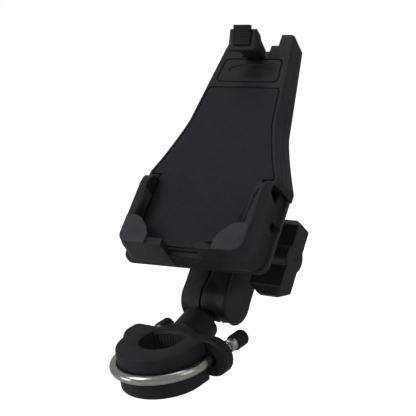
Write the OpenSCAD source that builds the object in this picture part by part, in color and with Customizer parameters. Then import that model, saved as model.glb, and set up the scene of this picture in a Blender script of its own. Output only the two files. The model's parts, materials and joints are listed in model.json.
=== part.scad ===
// Phone mount for a motorcycle handlebar.
// A U-bolt clamp carries a ball, a two-piece arm grips that ball and the cradle's ball,
// and a wing knob closes the arm. The cradle has a fixed tray and a sprung top jaw.
// The handlebar runs along Z through the origin, and the arm reaches back along +Y.

/* [Handlebar clamp] */
// Diameter of the handlebar
bar_d = 25.4; // [24:0.1:26]
// Distance between the two legs of the U-bolt
leg_gap = 54; // [54:0.5:60]
// Diameter of the U-bolt's rod
rod_d = 6; // [5:0.25:6.5]
// Height of the clamp's base along the handlebar
base_h = 22.1; // [20:0.1:26]
// Thickness of the base's bosses
boss_t = 7.4; // [6:0.1:9]
// Radius of the saddle in the base
saddle_r = 18; // [17:0.5:24]
// Depth of the saddle
saddle_depth = 4.6; // [4:0.1:5]
// Thickness of the ribbed rubber pad in the saddle
saddle_pad_t = 1.5; // [1:0.1:2]
// Height of the rubber liner in the U-bolt
liner_h = 24.3; // [23:0.1:28]
// Diameter of the nuts' steel sleeves
sleeve_d = 7.8; // [7.6:0.1:8.4]
// Length of a nut's steel sleeve
sleeve_len = 11; // [10:0.5:13]
// Diameter of the nuts' black caps
cap_d = 9.6; // [9.4:0.1:12]
// Length of a nut's black cap
cap_len = 10; // [9.5:0.5:14]
// Number of grip grooves round a cap
cap_grooves = 20; // [12:1:24]
// Gap between the base and the caps of the opened clamp
clamp_open = 15.4; // [15:0.1:18]

/* [Ball arm] */
// Diameter of both balls
ball_d = 25.4; // [24:0.1:26.4]
// Distance from the handlebar to the lower ball, level
ball_reach = 54; // [52:0.5:60]
// Height of the lower ball above the clamp's middle
ball_rise = 14; // [10:0.5:18]
// Angle of the lower ball's neck above level
neck_tilt = 23.6; // [18:0.2:28]
// Distance between the two ball centres
arm_len = 62; // [60:1:80]
// Angle of the arm above level
arm_rise = 47.5; // [42:0.5:52]
// Width across both arm halves
arm_w = 33; // [33:0.5:40]
// Depth of the arm over its sockets
arm_depth = 32; // [31:0.5:36]
// Gap between the arm halves
arm_gap = 1.6; // [1:0.1:2.5]
// Diameter of the arm's screw
screw_d = 6; // [5:0.5:7]

/* [Wing knob] */
// Length of the knob from wing tip to wing tip
wing_span = 47.5; // [44:0.5:56]
// Thickness of the knob's wings
wing_t = 12.5; // [10:0.5:14]
// Diameter of the knob's middle
knob_mid_d = 17.4; // [16:0.2:20]
// Height of the wings along the screw
wing_h = 22; // [18:0.5:26]
// Length of the knob's neck
knob_neck = 6; // [4:0.5:9]

/* [Cradle] */
// Turn of the cradle about the vertical
cradle_yaw = 16.1; // [-20:0.1:20]
// Lean of the cradle back from upright
cradle_lean = 36.2; // [30:0.1:42]
// Turn of the cradle in its own plane
cradle_roll = -5.8; // [-15:0.1:15]
// Height of the cradle's ball above the top of the foot
ball_over_foot = 20.4; // [20:0.2:26]
// Distance from the ball to the back of the cradle
ball_stand = 35.2; // [34:0.1:42]
// Half the width of the cradle's foot
foot_w = 44.4; // [43:0.2:50]
// Half the width of the cradle's head
head_w = 21.7; // [21:0.1:24]
// Height of the cradle's foot, below the waist
foot_h = 48.6; // [46:0.2:54]
// Height of the cradle's body
body_h = 153; // [150:1:166]
// Depth of the cradle's body
body_t = 17; // [16:0.5:20]
// Depth of the back shell
back_t = 8; // [7.5:0.1:9]
// How far the ears stand above the body
ear_h = 9; // [6:0.5:12]
// Wall thickness of the mouldings
wall = 2.4; // [2:0.1:3]
// Thickness of the rubber pad
pad_t = 1.2; // [1:0.1:1.6]

/* [Tray] */
// Half the width between the tray's side walls
bay_w = 33; // [31:0.5:36]
// Depth left for the telephone under the lips
bay_t = 8.4; // [8:0.2:12]
// Thickness of the corner lips
lip_t = 2.4; // [2:0.1:3]
// Half the width of the charging gap
gap_w = 10.5; // [8:0.5:14]
// Height of the tray's side walls up the cradle
side_h = 39.8; // [36:0.2:42]

/* [Jaw] */
// Half the width of the jaw's slider
slider_w = 12.4; // [11:0.1:13]
// Width of the jaw's head
jaw_w = 17; // [16.8:0.2:20]
// Height of the jaw's head above the cradle's front
jaw_rise = 26.7; // [24:0.1:32]
// Number of ribs on the jaw's pad
jaw_ribs = 8; // [6:1:9]

/* [Hidden] */

// Curve quality, and the small overshoot of a cutting tool
$fn = 64;
hull_fn = 32;
over = 1;
// Clearances: a running fit, a free fit, and a seam between mouldings
run_clear = 0.05;
free_clear = 0.3;
seam = 0.2;
black = "#1d1d20";
rubber = "#18181a";
steel = "#b9b7b2";

// Clamp
bar_r = bar_d / 2;
leg_x = leg_gap / 2;
rod_r = rod_d / 2;
bar_slack = 0.1;
saddle_top = bar_r + bar_slack;
base_front = saddle_top - saddle_depth;
base_back = base_front + boss_t;
edge_chamfer = 1.2;
saddle_chamfer = 2;
saddle_y = saddle_top - saddle_r;
saddle_pad_w = 10;
saddle_pad_h = base_h - 2 * saddle_chamfer - 1;
saddle_rib_step = 1.7;
saddle_rib_r = 0.35;
hole_d = sleeve_d + 2 * free_clear;
// The U-bolt's arc stands this far in front of the handlebar's axis
arc_y = -1.2;
// The rod lies this deep in the liner's groove
liner_sink = 1.2;
liner_r = leg_x - rod_r + liner_sink;
liner_top = base_h / 2 + 0.15;
liner_back = base_front - seam;
liner_round = 1;
liner_groove = 0.3;
mouth_w = sqrt(pow(saddle_r, 2) - pow(base_front - saddle_y, 2)) + free_clear;
cap_y = base_back + clamp_open;
sleeve_out = 6;
sleeve_in = sleeve_len - sleeve_out;
sleeve_y = cap_y + sleeve_in - sleeve_len;
leg_end = cap_y + 2;
cap_end = cap_y + cap_len;
cap_bore_end = cap_end - 1.2;
cap_round = 1.6;
groove_r = 0.45;

// Balls and necks
ball_r = ball_d / 2;
stud_r = 4.5;
stud_len = 8;
ball_flat = ball_r * 0.85;
neck_r = 5;
neck_step = 16.6;
neck_wide_r = 9.5;
neck_wide = 23;
neck_root_r = 12;
neck_root = 31;
neck_foot_w = 17;
lower_ball_at = [0, ball_reach, ball_rise];
upper_ball_at = lower_ball_at + arm_len * [0, cos(arm_rise), sin(arm_rise)];
arm_mid = (lower_ball_at + upper_ball_at) / 2;

// Arm
half_x = arm_w / 2;
split_x = arm_gap / 2;
socket_r = ball_r + run_clear;
lobe_r = arm_depth / 2;
cheek_r = lobe_r - 1.2;
cheek_t = 4.2;
waist_r = 12.5;
web_r = 9.5;
arm_round = 1.5;
lower_mouth = 49;
upper_mouth = 68;
mouth_reach = 40;
slot_w = 8;
slot_angle = 120;
spring_coil_r = 4.6;
spring_wire_r = 0.6;
spring_seat_r = spring_coil_r + spring_wire_r + free_clear;
spring_seat = 5;
head_r = 5;
head_t = 4;
head_sunk = 0.3;
spring_turns = 4;
washer_t = 1.5;
washer_r = 8;
knob_x = half_x + washer_t;
wing_x = knob_x + knob_neck;
knob_end = wing_x + wing_h;
insert_r = 5.2;
insert_len = 15;
screw_end = knob_x + insert_len - 1;
wing_chamfer = 4.5;
wing_cut_x = 5;
wing_cut = 4;
knob_mark_r = 0.8;

// Cradle
ball_v = foot_h + ball_over_foot;
front_n = body_t;
ear_top = body_h + ear_h;
// The sides: a straight taper above, and a flare down to the shoulders over the foot
taper = 0.145;
shoulder_v = foot_h + 5.4;
flare_w = 8;
flare_end = foot_h + 41.4;
flare_power = 1.3;
// How far the sides lean in towards the front, at the head and at the foot
head_lean = 1.1;
foot_lean = 4.8;
head_lean_v = body_h - 3;
foot_lean_v = shoulder_v + 11;
outline_step = 6;
rim_w = 2.1;
pad_gap = 0.5;
pad_low = 3;
pad_drop = 33.5;
pad_top = body_h - pad_drop;
pad_proud = 0.2;
ledge_h = 3;
shelf_w = bay_w - free_clear;
plate_r = 25.5;
plate_t = 3.5;
post_r = 5.5;
post_root_r = 9;
post_root_h = 12;
hex_r = 1.5;
hex_depth = 1.4;
amps_x = 19;
amps_y = 15;
plate_screw_r = 2;
plate_screw_head_r = 3.5;
plate_screw_head_t = 2.4;
plate_screw_len = 9;
boss_r = 5;
bar_h = 4;
panel_h = 18.8;
panel_low = pad_top + bar_h;
panel_high = panel_low + panel_h;
panel_rim = 4.3;
panel_round = 3;
frame_boss_r = 3.5;
frame_screw_r = 1.5;
frame_screw_head_r = 2.6;
frame_screw_head_t = 1.8;
frame_screw_sunk = 2.5;
frame_screw_grip = 3.5;
boss_in = 7;
low_boss_v = foot_h + 8;
high_boss_v = body_h - 20;
hollow_low = 4;
hollow_high = 14;

// Tray
lip_n = front_n + pad_proud + bay_t + lip_t;
lip_w = bay_w + 4.2;
lip_drop = 2.4;
wall_w = lip_w + 2.2;
wall_bulge_share = 0.65;
flange_t = 3.6;
floor_n = wall + 0.6;
bay_low = 2;
foot_round = 6;
wall_top_n = lip_n - 1.4;
lip_high = 15.5;
liner_t = 1;
liner_bed = 0.4;
liner_low = 17;
liner_high = side_h - 4;
liner_n = front_n + 1;
screw_v = 27.6;
screw_n = 5.5;
side_head_r = 2.6;
side_head_t = 1.6;
side_shank_r = 1.4;
side_head_u = wall_w - 1.4;
side_shank_len = 13;

// Jaw
channel_w = slider_w + 0.4;
channel_n = 12.4;
slider_low_n = back_t + 0.3;
slider_high_n = channel_n - 0.3;
jaw_foot_n = front_n + 0.4;
jaw_top = front_n + jaw_rise;
jaw_set_back = 6;
jaw_back = body_h - jaw_set_back;
slider_len = 56.8;
slider_end_gap = 0.2;
slider_high = body_h - slider_end_gap;
slider_low = slider_high - slider_len;
stem_w = 8;
stem_t = 3.6;
stem_low = jaw_back - stem_t;
stem_n = front_n + 9;
jaw_len = 13;
jaw_nose = jaw_back - jaw_len;
jaw_nose_rise = 2.5;
jaw_face_run = 9.7;
jaw_face_rise = 7.2;
jaw_nose_n = jaw_top - jaw_face_rise - jaw_nose_rise;
jaw_lip = 1;
jaw_pad_over = 2.5;
jaw_pad_w = 10.6;
jaw_pad_t = 2;
jaw_pad_start = 0.6;
jaw_pad_stand = 1.2;
jaw_face_angle = atan2(jaw_face_rise, jaw_face_run);
jaw_face_len = norm([jaw_face_run, jaw_face_rise]);
jaw_spring_u = 7;
jaw_spring_r = 1.7;
jaw_spring_wire = 0.3;
jaw_spring_turns = 9;
jaw_spring_n = (slider_low_n + slider_high_n) / 2;
pin_v = foot_h + 7.4;
pin_r = 1.5;
jaw_spring_len = slider_low - pin_v - 2 * pin_r - jaw_spring_wire;
spring_peg_r = 1;
spring_peg_v = 2.5;

// ---------- frames ----------

// Draws a shape and its mirror image across X = 0
module both() {
    children();
    mirror([1, 0, 0]) children();
}

// Z runs back along a leg of the U-bolt, from the level of the handlebar's axis
module on_leg(side) {
    translate([side * leg_x, 0, 0]) rotate([-90, 0, 0]) children();
}

// Z runs out of the base along the lower ball's neck, from the ball's centre
module on_neck() {
    translate(lower_ball_at) rotate([neck_tilt - 90, 0, 0]) children();
}

// Z runs along the arm from the lower ball to the upper one, from the screw's axis
module on_arm() {
    translate(arm_mid) rotate([arm_rise - 90, 0, 0]) children();
}

// Y runs up the cradle and Z out of its front, from the middle of its lower back edge
module on_cradle() {
    translate(upper_ball_at)
        rotate([0, 0, cradle_yaw]) rotate([cradle_lean, 0, 0]) rotate([0, 0, cradle_roll])
            translate([0, -ball_v, ball_stand]) children();
}

// Extrudes a drawing of Y and Z along X
module along_x(from, to) {
    translate([from, 0, 0]) rotate([90, 0, 90]) linear_extrude(to - from) children();
}

// ---------- shared shapes ----------

// A rectangle with round corners, from its low corner to its high one
module round_rect(low, high, r) {
    translate(low + [r, 0]) square([high[0] - low[0] - 2 * r, high[1] - low[1]]);
    translate(low + [0, r]) square([high[0] - low[0], high[1] - low[1] - 2 * r]);
    for (x = [low[0] + r, high[0] - r], y = [low[1] + r, high[1] - r])
        translate([x, y]) circle(r);
}

// A round wire along a helix round Z
module coil(r, wire_r, len, turns) {
    sides = 6;
    steps = 9 * turns;
    slope = atan2(len / turns, 2 * PI * r);
    rings = [
        for (i = [0 : steps], j = [0 : sides - 1])
            let (a = 360 * turns * i / steps, q = 360 * j / sides,
                 out = [cos(a), sin(a), 0],
                 up = [sin(a) * sin(slope), -cos(a) * sin(slope), cos(slope)])
            r * out + [0, 0, len * i / steps] + wire_r * (cos(q) * out + sin(q) * up)
    ];
    walls = [
        for (i = [0 : steps - 1], j = [0 : sides - 1])
            let (k = (j + 1) % sides, a = i * sides, b = a + sides)
            each [[a + j, b + j, a + k], [b + j, b + k, a + k]]
    ];
    first = [for (j = [0 : sides - 1]) j];
    last = [for (j = [sides - 1 : -1 : 0]) steps * sides + j];
    polyhedron(rings, concat(walls, [first, last]));
}

// ---------- clamp ----------

// The base's outline as seen from the handlebar, between two levels along Y
module base_slab(from, to, shrink_from, shrink_to) {
    r = base_h / 2;
    for (side = [-1, 1])
        on_leg(side) translate([0, 0, from])
            cylinder(r1 = r - shrink_from, r2 = r - shrink_to, h = to - from);
    along_x(-leg_x, leg_x)
        polygon([[from, shrink_from - r], [to, shrink_to - r],
                 [to, r - shrink_to], [from, r - shrink_from]]);
}

module base_neck() {
    hull() {
        translate([-neck_foot_w, base_back - 1, -base_h / 2 + 1])
            cube([2 * neck_foot_w, 1, base_h - 2]);
        on_neck() translate([0, 0, -neck_root]) cylinder(r = neck_root_r, h = 0.1, $fn = hull_fn);
    }
    on_neck() {
        translate([0, 0, -neck_root])
            cylinder(r1 = neck_root_r - seam, r2 = neck_wide_r, h = neck_root - neck_wide);
        translate([0, 0, -neck_wide])
            cylinder(r1 = neck_wide_r, r2 = neck_r, h = neck_wide - neck_step);
        translate([0, 0, -neck_step]) cylinder(r = neck_r, h = neck_step - ball_flat - free_clear);
        translate([0, 0, -neck_root]) cylinder(r = stud_r, h = neck_root + stud_len);
    }
}

// Curved slab behind the saddle's face, between two radii from the saddle's centre
module saddle_layer(inner, outer, w, h) {
    intersection() {
        translate([0, saddle_y, -h / 2])
            difference() {
                cylinder(r = outer, h = h);
                translate([0, 0, -over]) cylinder(r = inner, h = h + 2 * over);
            }
        translate([-w, 0, -h / 2]) cube([2 * w, base_back, h]);
    }
}

module base_body() {
    color(black) difference() {
        union() {
            base_slab(base_front, base_front + edge_chamfer, edge_chamfer, 0);
            base_slab(base_front + edge_chamfer, base_back, 0, 0);
            base_neck();
        }
        translate([0, saddle_y, -base_h]) cylinder(r = saddle_r, h = 2 * base_h);
        for (side = [-1, 1])
            mirror([0, 0, side < 0 ? 1 : 0])
                translate([0, saddle_y, base_h / 2 - saddle_chamfer])
                    cylinder(r1 = saddle_r, r2 = saddle_r + saddle_chamfer + 0.1,
                             h = saddle_chamfer + 0.1);
        saddle_layer(saddle_r - over, saddle_r + saddle_pad_t, saddle_pad_w, saddle_pad_h);
        for (side = [-1, 1])
            on_leg(side) cylinder(d = hole_d, h = base_back + over);
    }
}

module saddle_pad() {
    ribs = floor(saddle_pad_w / saddle_rib_step);
    color(rubber) difference() {
        saddle_layer(saddle_r, saddle_r + saddle_pad_t - run_clear,
                     saddle_pad_w - free_clear, saddle_pad_h - 2 * run_clear);
        for (i = [-ribs : ribs])
            translate([i * saddle_rib_step, saddle_y + sqrt(pow(saddle_r, 2) - pow(i * saddle_rib_step, 2)),
                       -base_h])
                cylinder(r = saddle_rib_r, h = 2 * base_h);
    }
}

module u_bolt() {
    color(steel) {
        translate([0, arc_y, 0]) rotate([0, 0, 180])
            rotate_extrude(angle = 180) translate([leg_x, 0]) circle(rod_r);
        for (side = [-1, 1])
            on_leg(side) translate([0, 0, arc_y]) cylinder(r = rod_r, h = leg_end - arc_y);
    }
}

module bar_liner() {
    low = liner_top - liner_h;
    color(rubber) difference() {
        union() {
            translate([0, arc_y, low]) cylinder(r = liner_r, h = liner_h - liner_round);
            translate([0, arc_y, liner_top - liner_round])
                cylinder(r1 = liner_r, r2 = liner_r - liner_round, h = liner_round);
            translate([0, liner_back, 0]) rotate([90, 0, 0])
                linear_extrude(liner_back - arc_y)
                    polygon([[-liner_r, low], [liner_r, low], [liner_r, liner_top - liner_round],
                             [liner_r - liner_round, liner_top], [liner_round - liner_r, liner_top],
                             [-liner_r, liner_top - liner_round]]);
        }
        translate([-leg_gap, liner_back, low - over]) cube([2 * leg_gap, leg_gap, liner_h + 2 * over]);
        translate([0, 0, low - over]) cylinder(r = bar_r, h = liner_h + 2 * over);
        translate([0, 0, low - over]) linear_extrude(liner_h + 2 * over)
            polygon([[-bar_r, 0], [bar_r, 0], [mouth_w, liner_back + over],
                     [-mouth_w, liner_back + over]]);
        translate([0, arc_y, 0]) rotate([0, 0, 180])
            rotate_extrude(angle = 180) translate([leg_x, 0]) circle(rod_r + free_clear + liner_groove);
        for (side = [-1, 1])
            on_leg(side) translate([0, 0, arc_y])
                cylinder(r = rod_r + free_clear + liner_groove, h = leg_gap);
    }
}

module nut_sleeve(side) {
    color(steel) on_leg(side) translate([0, 0, sleeve_y])
        difference() {
            cylinder(d = sleeve_d, h = sleeve_len);
            translate([0, 0, -over]) cylinder(r = rod_r + run_clear, h = sleeve_len + 2 * over);
        }
}

module nut_sleeve_left() { nut_sleeve(-1); }
module nut_sleeve_right() { nut_sleeve(1); }

module nut_cap(side) {
    r = cap_d / 2;
    color(black) on_leg(side) difference() {
        rotate_extrude()
            polygon([[0, cap_y], [r, cap_y], [r, cap_end - cap_round],
                     for (a = [15 : 15 : 75])
                         [r - cap_round * (1 - cos(a)), cap_end - cap_round * (1 - sin(a))],
                     [r - cap_round, cap_end], [0, cap_end]]);
        translate([0, 0, cap_y - over])
            cylinder(d = sleeve_d + 2 * run_clear, h = sleeve_in + over + run_clear);
        translate([0, 0, cap_y]) cylinder(r = rod_r + free_clear, h = cap_bore_end - cap_y);
        for (i = [0 : cap_grooves - 1])
            rotate([0, 0, 360 * i / cap_grooves]) translate([r + groove_r / 2, 0, cap_y + 1.2])
                cylinder(r = groove_r, h = cap_len);
    }
}

module nut_cap_left() { nut_cap(-1); }
module nut_cap_right() { nut_cap(1); }

// ---------- balls and arm ----------

// A ball with a flat at +Z and a blind hole for the stud that holds it
module ball_on_stud() {
    difference() {
        sphere(ball_r);
        translate([-ball_r, -ball_r, ball_flat]) cube(2 * ball_r);
        translate([0, 0, -stud_len - free_clear])
            cylinder(r = stud_r + run_clear, h = stud_len + ball_r + over);
    }
}

module lower_ball() {
    color(rubber) on_neck() rotate([180, 0, 0]) ball_on_stud();
}

module upper_ball() {
    color(rubber) on_cradle() translate([0, ball_v, -ball_stand]) ball_on_stud();
}

// The arm's cheek seen from the side: two round ends and a waist
module arm_side() {
    for (end = [-1, 1]) translate([0, end * arm_len / 2]) circle(cheek_r);
    translate([-waist_r, -arm_len / 2]) square([2 * waist_r, arm_len]);
}

// The right half's solid before its hollows are cut: a round lobe over each ball,
// a narrow web between them and a flat cheek outside
module arm_blank() {
    intersection() {
        union() {
            along_x(half_x - cheek_t, half_x) arm_side();
            for (end = [-1, 1]) translate([0, 0, end * arm_len / 2]) sphere(lobe_r);
            translate([0, -web_r, -arm_len / 2]) cube([half_x - arm_round, 2 * web_r, arm_len]);
        }
        translate([0, 0, -arm_len])
            linear_extrude(2 * arm_len)
                round_rect([-half_x, -lobe_r], [half_x, lobe_r], arm_round);
        translate([split_x, -arm_len, -arm_len]) cube(2 * arm_len);
    }
}

// The cone that opens the arm's end round a ball, along Z from the ball's centre
module end_mouth(angle) {
    cylinder(r1 = 0, r2 = mouth_reach * tan(angle), h = mouth_reach);
}

module arm_hollows() {
    for (end = [-1, 1])
        translate([0, 0, end * arm_len / 2]) {
            sphere(socket_r);
            mirror([0, 0, end < 0 ? 1 : 0]) end_mouth(end < 0 ? lower_mouth : upper_mouth);
        }
    translate([0, 0, arm_len / 2])
        along_x(-slot_w, slot_w)
            polygon([[0, 0], mouth_reach * [-sin(slot_angle), cos(slot_angle)],
                     [-mouth_reach, mouth_reach], [0, mouth_reach]]);
    rotate([0, 90, 0]) translate([0, 0, -half_x - over])
        cylinder(r = screw_d / 2 + run_clear, h = arm_w + 2 * over);
    rotate([0, 90, 0]) translate([0, 0, -spring_seat])
        cylinder(r = spring_seat_r, h = 2 * spring_seat);
}

module arm_half_right() {
    color(black) on_arm() difference() {
        arm_blank();
        arm_hollows();
    }
}

module arm_half_left() {
    color(black) on_arm() difference() {
        mirror([1, 0, 0]) arm_blank();
        arm_hollows();
        rotate([0, -90, 0]) translate([0, 0, half_x - head_t])
            cylinder(r = head_r + run_clear, h = head_t + over);
    }
}

module arm_screw() {
    color(steel) on_arm() rotate([0, 90, 0]) {
        translate([0, 0, -half_x]) cylinder(r = screw_d / 2, h = half_x + screw_end);
        translate([0, 0, head_sunk - half_x]) cylinder(r = head_r, h = head_t - head_sunk);
    }
}

module arm_spring() {
    end = spring_seat - spring_wire_r - run_clear;
    color(steel) on_arm() rotate([0, 90, 0]) translate([0, 0, -end])
        coil(spring_coil_r, spring_wire_r, 2 * end, spring_turns);
}

module arm_washer() {
    color(steel) on_arm() rotate([0, 90, 0]) translate([0, 0, half_x])
        difference() {
            cylinder(r = washer_r, h = washer_t);
            translate([0, 0, -over]) cylinder(r = screw_d / 2 + run_clear, h = washer_t + 2 * over);
        }
}

// The knob seen along its screw: a round middle and two chamfered wings
module knob_outline() {
    tip = wing_span / 2;
    t = wing_t / 2;
    circle(d = knob_mid_d);
    polygon([[-t, wing_chamfer - tip], [wing_chamfer - t, -tip], [t - wing_chamfer, -tip],
             [t, wing_chamfer - tip], [t, tip - wing_chamfer], [t - wing_chamfer, tip],
             [wing_chamfer - t, tip], [-t, tip - wing_chamfer]]);
}

// The knob seen from its narrow side, with its wings' corners cut off
module wing_ends() {
    tip = wing_span / 2;
    translate([0, wing_span, 0]) rotate([90, 0, 0]) linear_extrude(2 * wing_span)
        polygon([[wing_x, wing_cut - tip], [wing_x + wing_cut_x, -tip], [knob_end - wing_cut_x, -tip],
                 [knob_end, wing_cut - tip], [knob_end, tip - wing_cut],
                 [knob_end - wing_cut_x, tip], [wing_x + wing_cut_x, tip], [wing_x, tip - wing_cut]]);
}

module wing_knob() {
    color(black) on_arm() difference() {
        union() {
            intersection() {
                along_x(wing_x, knob_end) knob_outline();
                wing_ends();
            }
            rotate([0, 90, 0]) translate([0, 0, knob_x]) cylinder(r = washer_r, h = knob_neck + over);
        }
        rotate([0, 90, 0]) translate([0, 0, knob_x - over])
            cylinder(r = insert_r + run_clear, h = insert_len + over + run_clear);
        rotate([0, 90, 0]) translate([0, 0, knob_end - 1]) cylinder(r = knob_mark_r, h = 2);
    }
}

module knob_insert() {
    color("#b08d4a") on_arm() rotate([0, 90, 0]) translate([0, 0, knob_x])
        difference() {
            cylinder(r = insert_r, h = insert_len);
            translate([0, 0, -over]) cylinder(r = screw_d / 2 + run_clear, h = insert_len + 2 * over);
        }
}

// ---------- cradle ----------

// Half the cradle's width at height v and depth n: a straight taper above flared
// shoulders, with sides that lean in towards the front, more so towards the foot
function flare(v) =
    v < shoulder_v ? flare_w
    : v > flare_end ? 0
    : flare_w * pow((flare_end - v) / (flare_end - shoulder_v), flare_power);
function lean_share(v) =
    max(0, min(1, (head_lean_v - v) / (head_lean_v - foot_lean_v)));
function lean_in(v, n) =
    n / front_n * (head_lean + (foot_lean - head_lean) * lean_share(v));
function half_w(v, n) =
    head_w + taper * (ear_top - max(v, shoulder_v)) + flare(v) - lean_in(v, n);

// The cradle's outline at depth n between two heights, less a margin
function side_points(low, high, n, margin) =
    let (steps = ceil((high - low) / outline_step))
    [for (i = [0 : steps]) let (v = low + (high - low) * i / steps) [half_w(v, n) - margin, v]];
function ring(low, high, n, margin) =
    let (right = side_points(low, high, n, margin), count = len(right))
    concat(right, [for (i = [count - 1 : -1 : 0]) [-right[i][0], right[i][1]]]);

// A solid between the outlines at two depths
module body_loft(low, high, n0, n1, margin = 0) {
    a = ring(low, high, n0, margin);
    b = ring(low, high, n1, margin);
    count = len(a);
    points = concat([for (p = a) [p[0], p[1], n0]], [for (p = b) [p[0], p[1], n1]]);
    walls = [
        for (i = [0 : count - 1]) let (j = (i + 1) % count)
            each [[i, i + count, j], [j, i + count, j + count]]
    ];
    back = [for (i = [0 : count - 1]) i];
    front = [for (i = [count - 1 : -1 : 0]) count + i];
    polyhedron(points, concat(walls, [back, front]));
}

// Places a shape at each of the ball plate's screws
module at_plate_screws() {
    for (x = [-amps_x, amps_x], y = [-amps_y, amps_y])
        translate([x, ball_v + y, 0]) children();
}

// Places a shape at each screw that joins the back shell and the front frame
module at_frame_screws() {
    for (v = [low_boss_v, high_boss_v], side = [-1, 1])
        translate([side * (half_w(v, 0) - wall - boss_in), v, 0]) children();
}

module ball_plate() {
    color(black) on_cradle() difference() {
        translate([0, ball_v, 0]) union() {
            translate([0, 0, -plate_t]) cylinder(r = plate_r, h = plate_t);
            translate([0, 0, -plate_t - post_root_h])
                cylinder(r1 = post_r, r2 = post_root_r, h = post_root_h);
            translate([0, 0, ball_flat + free_clear - ball_stand])
                cylinder(r = post_r, h = ball_stand - ball_flat - free_clear - plate_t);
            translate([0, 0, -ball_stand - stud_len])
                cylinder(r = stud_r, h = stud_len + ball_stand - plate_t);
        }
        at_plate_screws() translate([0, 0, -plate_t - over])
            cylinder(r = plate_screw_r + run_clear, h = plate_t + 2 * over);
    }
}

module plate_screws() {
    color(steel) on_cradle() at_plate_screws() {
        translate([0, 0, -plate_t]) cylinder(r = plate_screw_r, h = plate_screw_len);
        translate([0, 0, -plate_t - plate_screw_head_t])
            difference() {
                cylinder(r = plate_screw_head_r, h = plate_screw_head_t);
                translate([0, 0, -over]) cylinder(r = hex_r, h = over + hex_depth, $fn = 6);
            }
    }
}

module back_shell() {
    color(black) on_cradle() difference() {
        union() {
            difference() {
                body_loft(foot_h + seam, ear_top, 0, back_t);
                translate([0, 0, wall]) linear_extrude(back_t)
                    polygon(ring(foot_h + seam + wall, body_h - wall, back_t, wall));
                translate([-channel_w, body_h, -over]) cube([2 * channel_w, ear_top, back_t + 2 * over]);
            }
            translate([-shelf_w, bay_low + seam, floor_n + seam])
                cube([2 * shelf_w, foot_h + wall / 2 - bay_low, back_t - floor_n - seam]);
            at_plate_screws() cylinder(r = boss_r, h = back_t);
            at_frame_screws() cylinder(r = frame_boss_r, h = back_t);
        }
        at_plate_screws() translate([0, 0, -over])
            cylinder(r = plate_screw_r + run_clear, h = plate_screw_len - plate_t + over + free_clear);
        at_frame_screws() translate([0, 0, -over])
            cylinder(r = frame_screw_r + run_clear, h = back_t + 2 * over);
        at_frame_screws() translate([0, 0, -over])
            cylinder(r = frame_screw_head_r + free_clear, h = over + frame_screw_sunk);
        both() side_screw_hole();
    }
}

// The blind hole for a side screw in the shells' lower block
module side_screw_hole() {
    translate([side_head_u - side_shank_len - free_clear, screw_v, screw_n]) rotate([0, 90, 0])
        cylinder(r = side_shank_r + run_clear, h = side_shank_len);
}

module frame_screws() {
    color(steel) on_cradle() at_frame_screws() {
        translate([0, 0, frame_screw_sunk - frame_screw_head_t])
            cylinder(r = frame_screw_head_r, h = frame_screw_head_t);
        translate([0, 0, frame_screw_sunk - over])
            cylinder(r = frame_screw_r, h = back_t + frame_screw_grip - over);
    }
}

module front_frame() {
    low_n = back_t + seam;
    color(black) on_cradle() difference() {
        union() {
            body_loft(foot_h + seam, ear_top, low_n, front_n);
            translate([-shelf_w, bay_low + seam, low_n])
                cube([2 * shelf_w, foot_h + wall, front_n - pad_t - low_n]);
        }
        // Recess for the pad, in the tray and above it
        translate([0, 0, front_n - pad_t]) linear_extrude(pad_t + over) pad_outline(0);
        translate([-shelf_w - over, 0, front_n - pad_t])
            cube([2 * (shelf_w + over), foot_h - 1, pad_t + over]);
        // Recess for the panel
        translate([0, 0, front_n - pad_t]) linear_extrude(pad_t + over) panel_outline(0);
        // Channel of the jaw's slider, and the open slot for its stem
        translate([-channel_w, pin_v - 2 * pin_r, low_n - over])
            cube([2 * channel_w, ear_top, channel_n - low_n + over]);
        translate([-stem_w - free_clear, stem_low - free_clear, low_n])
            cube([2 * (stem_w + free_clear), ear_top, front_n]);
        translate([-channel_w, body_h, low_n - over]) cube([2 * channel_w, ear_top, 2 * front_n]);
        // Hollows beside the channel
        both() intersection() {
            body_loft(foot_h + hollow_low, body_h - hollow_high, low_n - over, channel_n, wall + 2 * seam);
            translate([channel_w + wall, 0, 0]) cube([foot_w, body_h, channel_n]);
        }
        at_frame_screws() translate([0, 0, low_n - over])
            cylinder(r = frame_screw_r + run_clear, h = over + frame_screw_grip + free_clear);
    }
    color(black) on_cradle() at_frame_screws() translate([0, 0, low_n])
        difference() {
            cylinder(r = frame_boss_r, h = channel_n - low_n + over);
            translate([0, 0, -over])
                cylinder(r = frame_screw_r + run_clear, h = over + frame_screw_grip + free_clear);
        }
}

// Half the pad's width at height v, above the tray
function pad_w(v) = half_w(v, front_n) - rim_w;

// The pad's outline, less a margin, with its shoulders above the tray's walls
module pad_outline(margin) {
    low = foot_h + ledge_h + margin;
    steps = 10;
    right = [for (i = [0 : steps])
        let (v = low + (pad_top - margin - low) * i / steps) [pad_w(v) - margin, v]];
    polygon(concat(right, [for (i = [steps : -1 : 0]) [-right[i][0], right[i][1]]]));
    translate([margin + free_clear - shelf_w, pad_low + margin])
        square([2 * (shelf_w - margin - free_clear), foot_h]);
}

module main_pad() {
    color(rubber) on_cradle() translate([0, 0, front_n - pad_t + run_clear])
        linear_extrude(pad_t + pad_proud - run_clear) pad_outline(pad_gap);
}

module panel_outline(margin) {
    hull() for (v = [panel_low, panel_high], side = [-1, 1])
        translate([side * (half_w(v, front_n) - panel_rim - panel_round),
                   v == panel_low ? v + panel_round : v - panel_round])
            circle(panel_round - margin);
}

module top_panel() {
    color(black) on_cradle() translate([0, 0, front_n - pad_t + run_clear])
        linear_extrude(pad_t - run_clear) panel_outline(pad_gap);
}

// ---------- tray ----------

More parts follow.
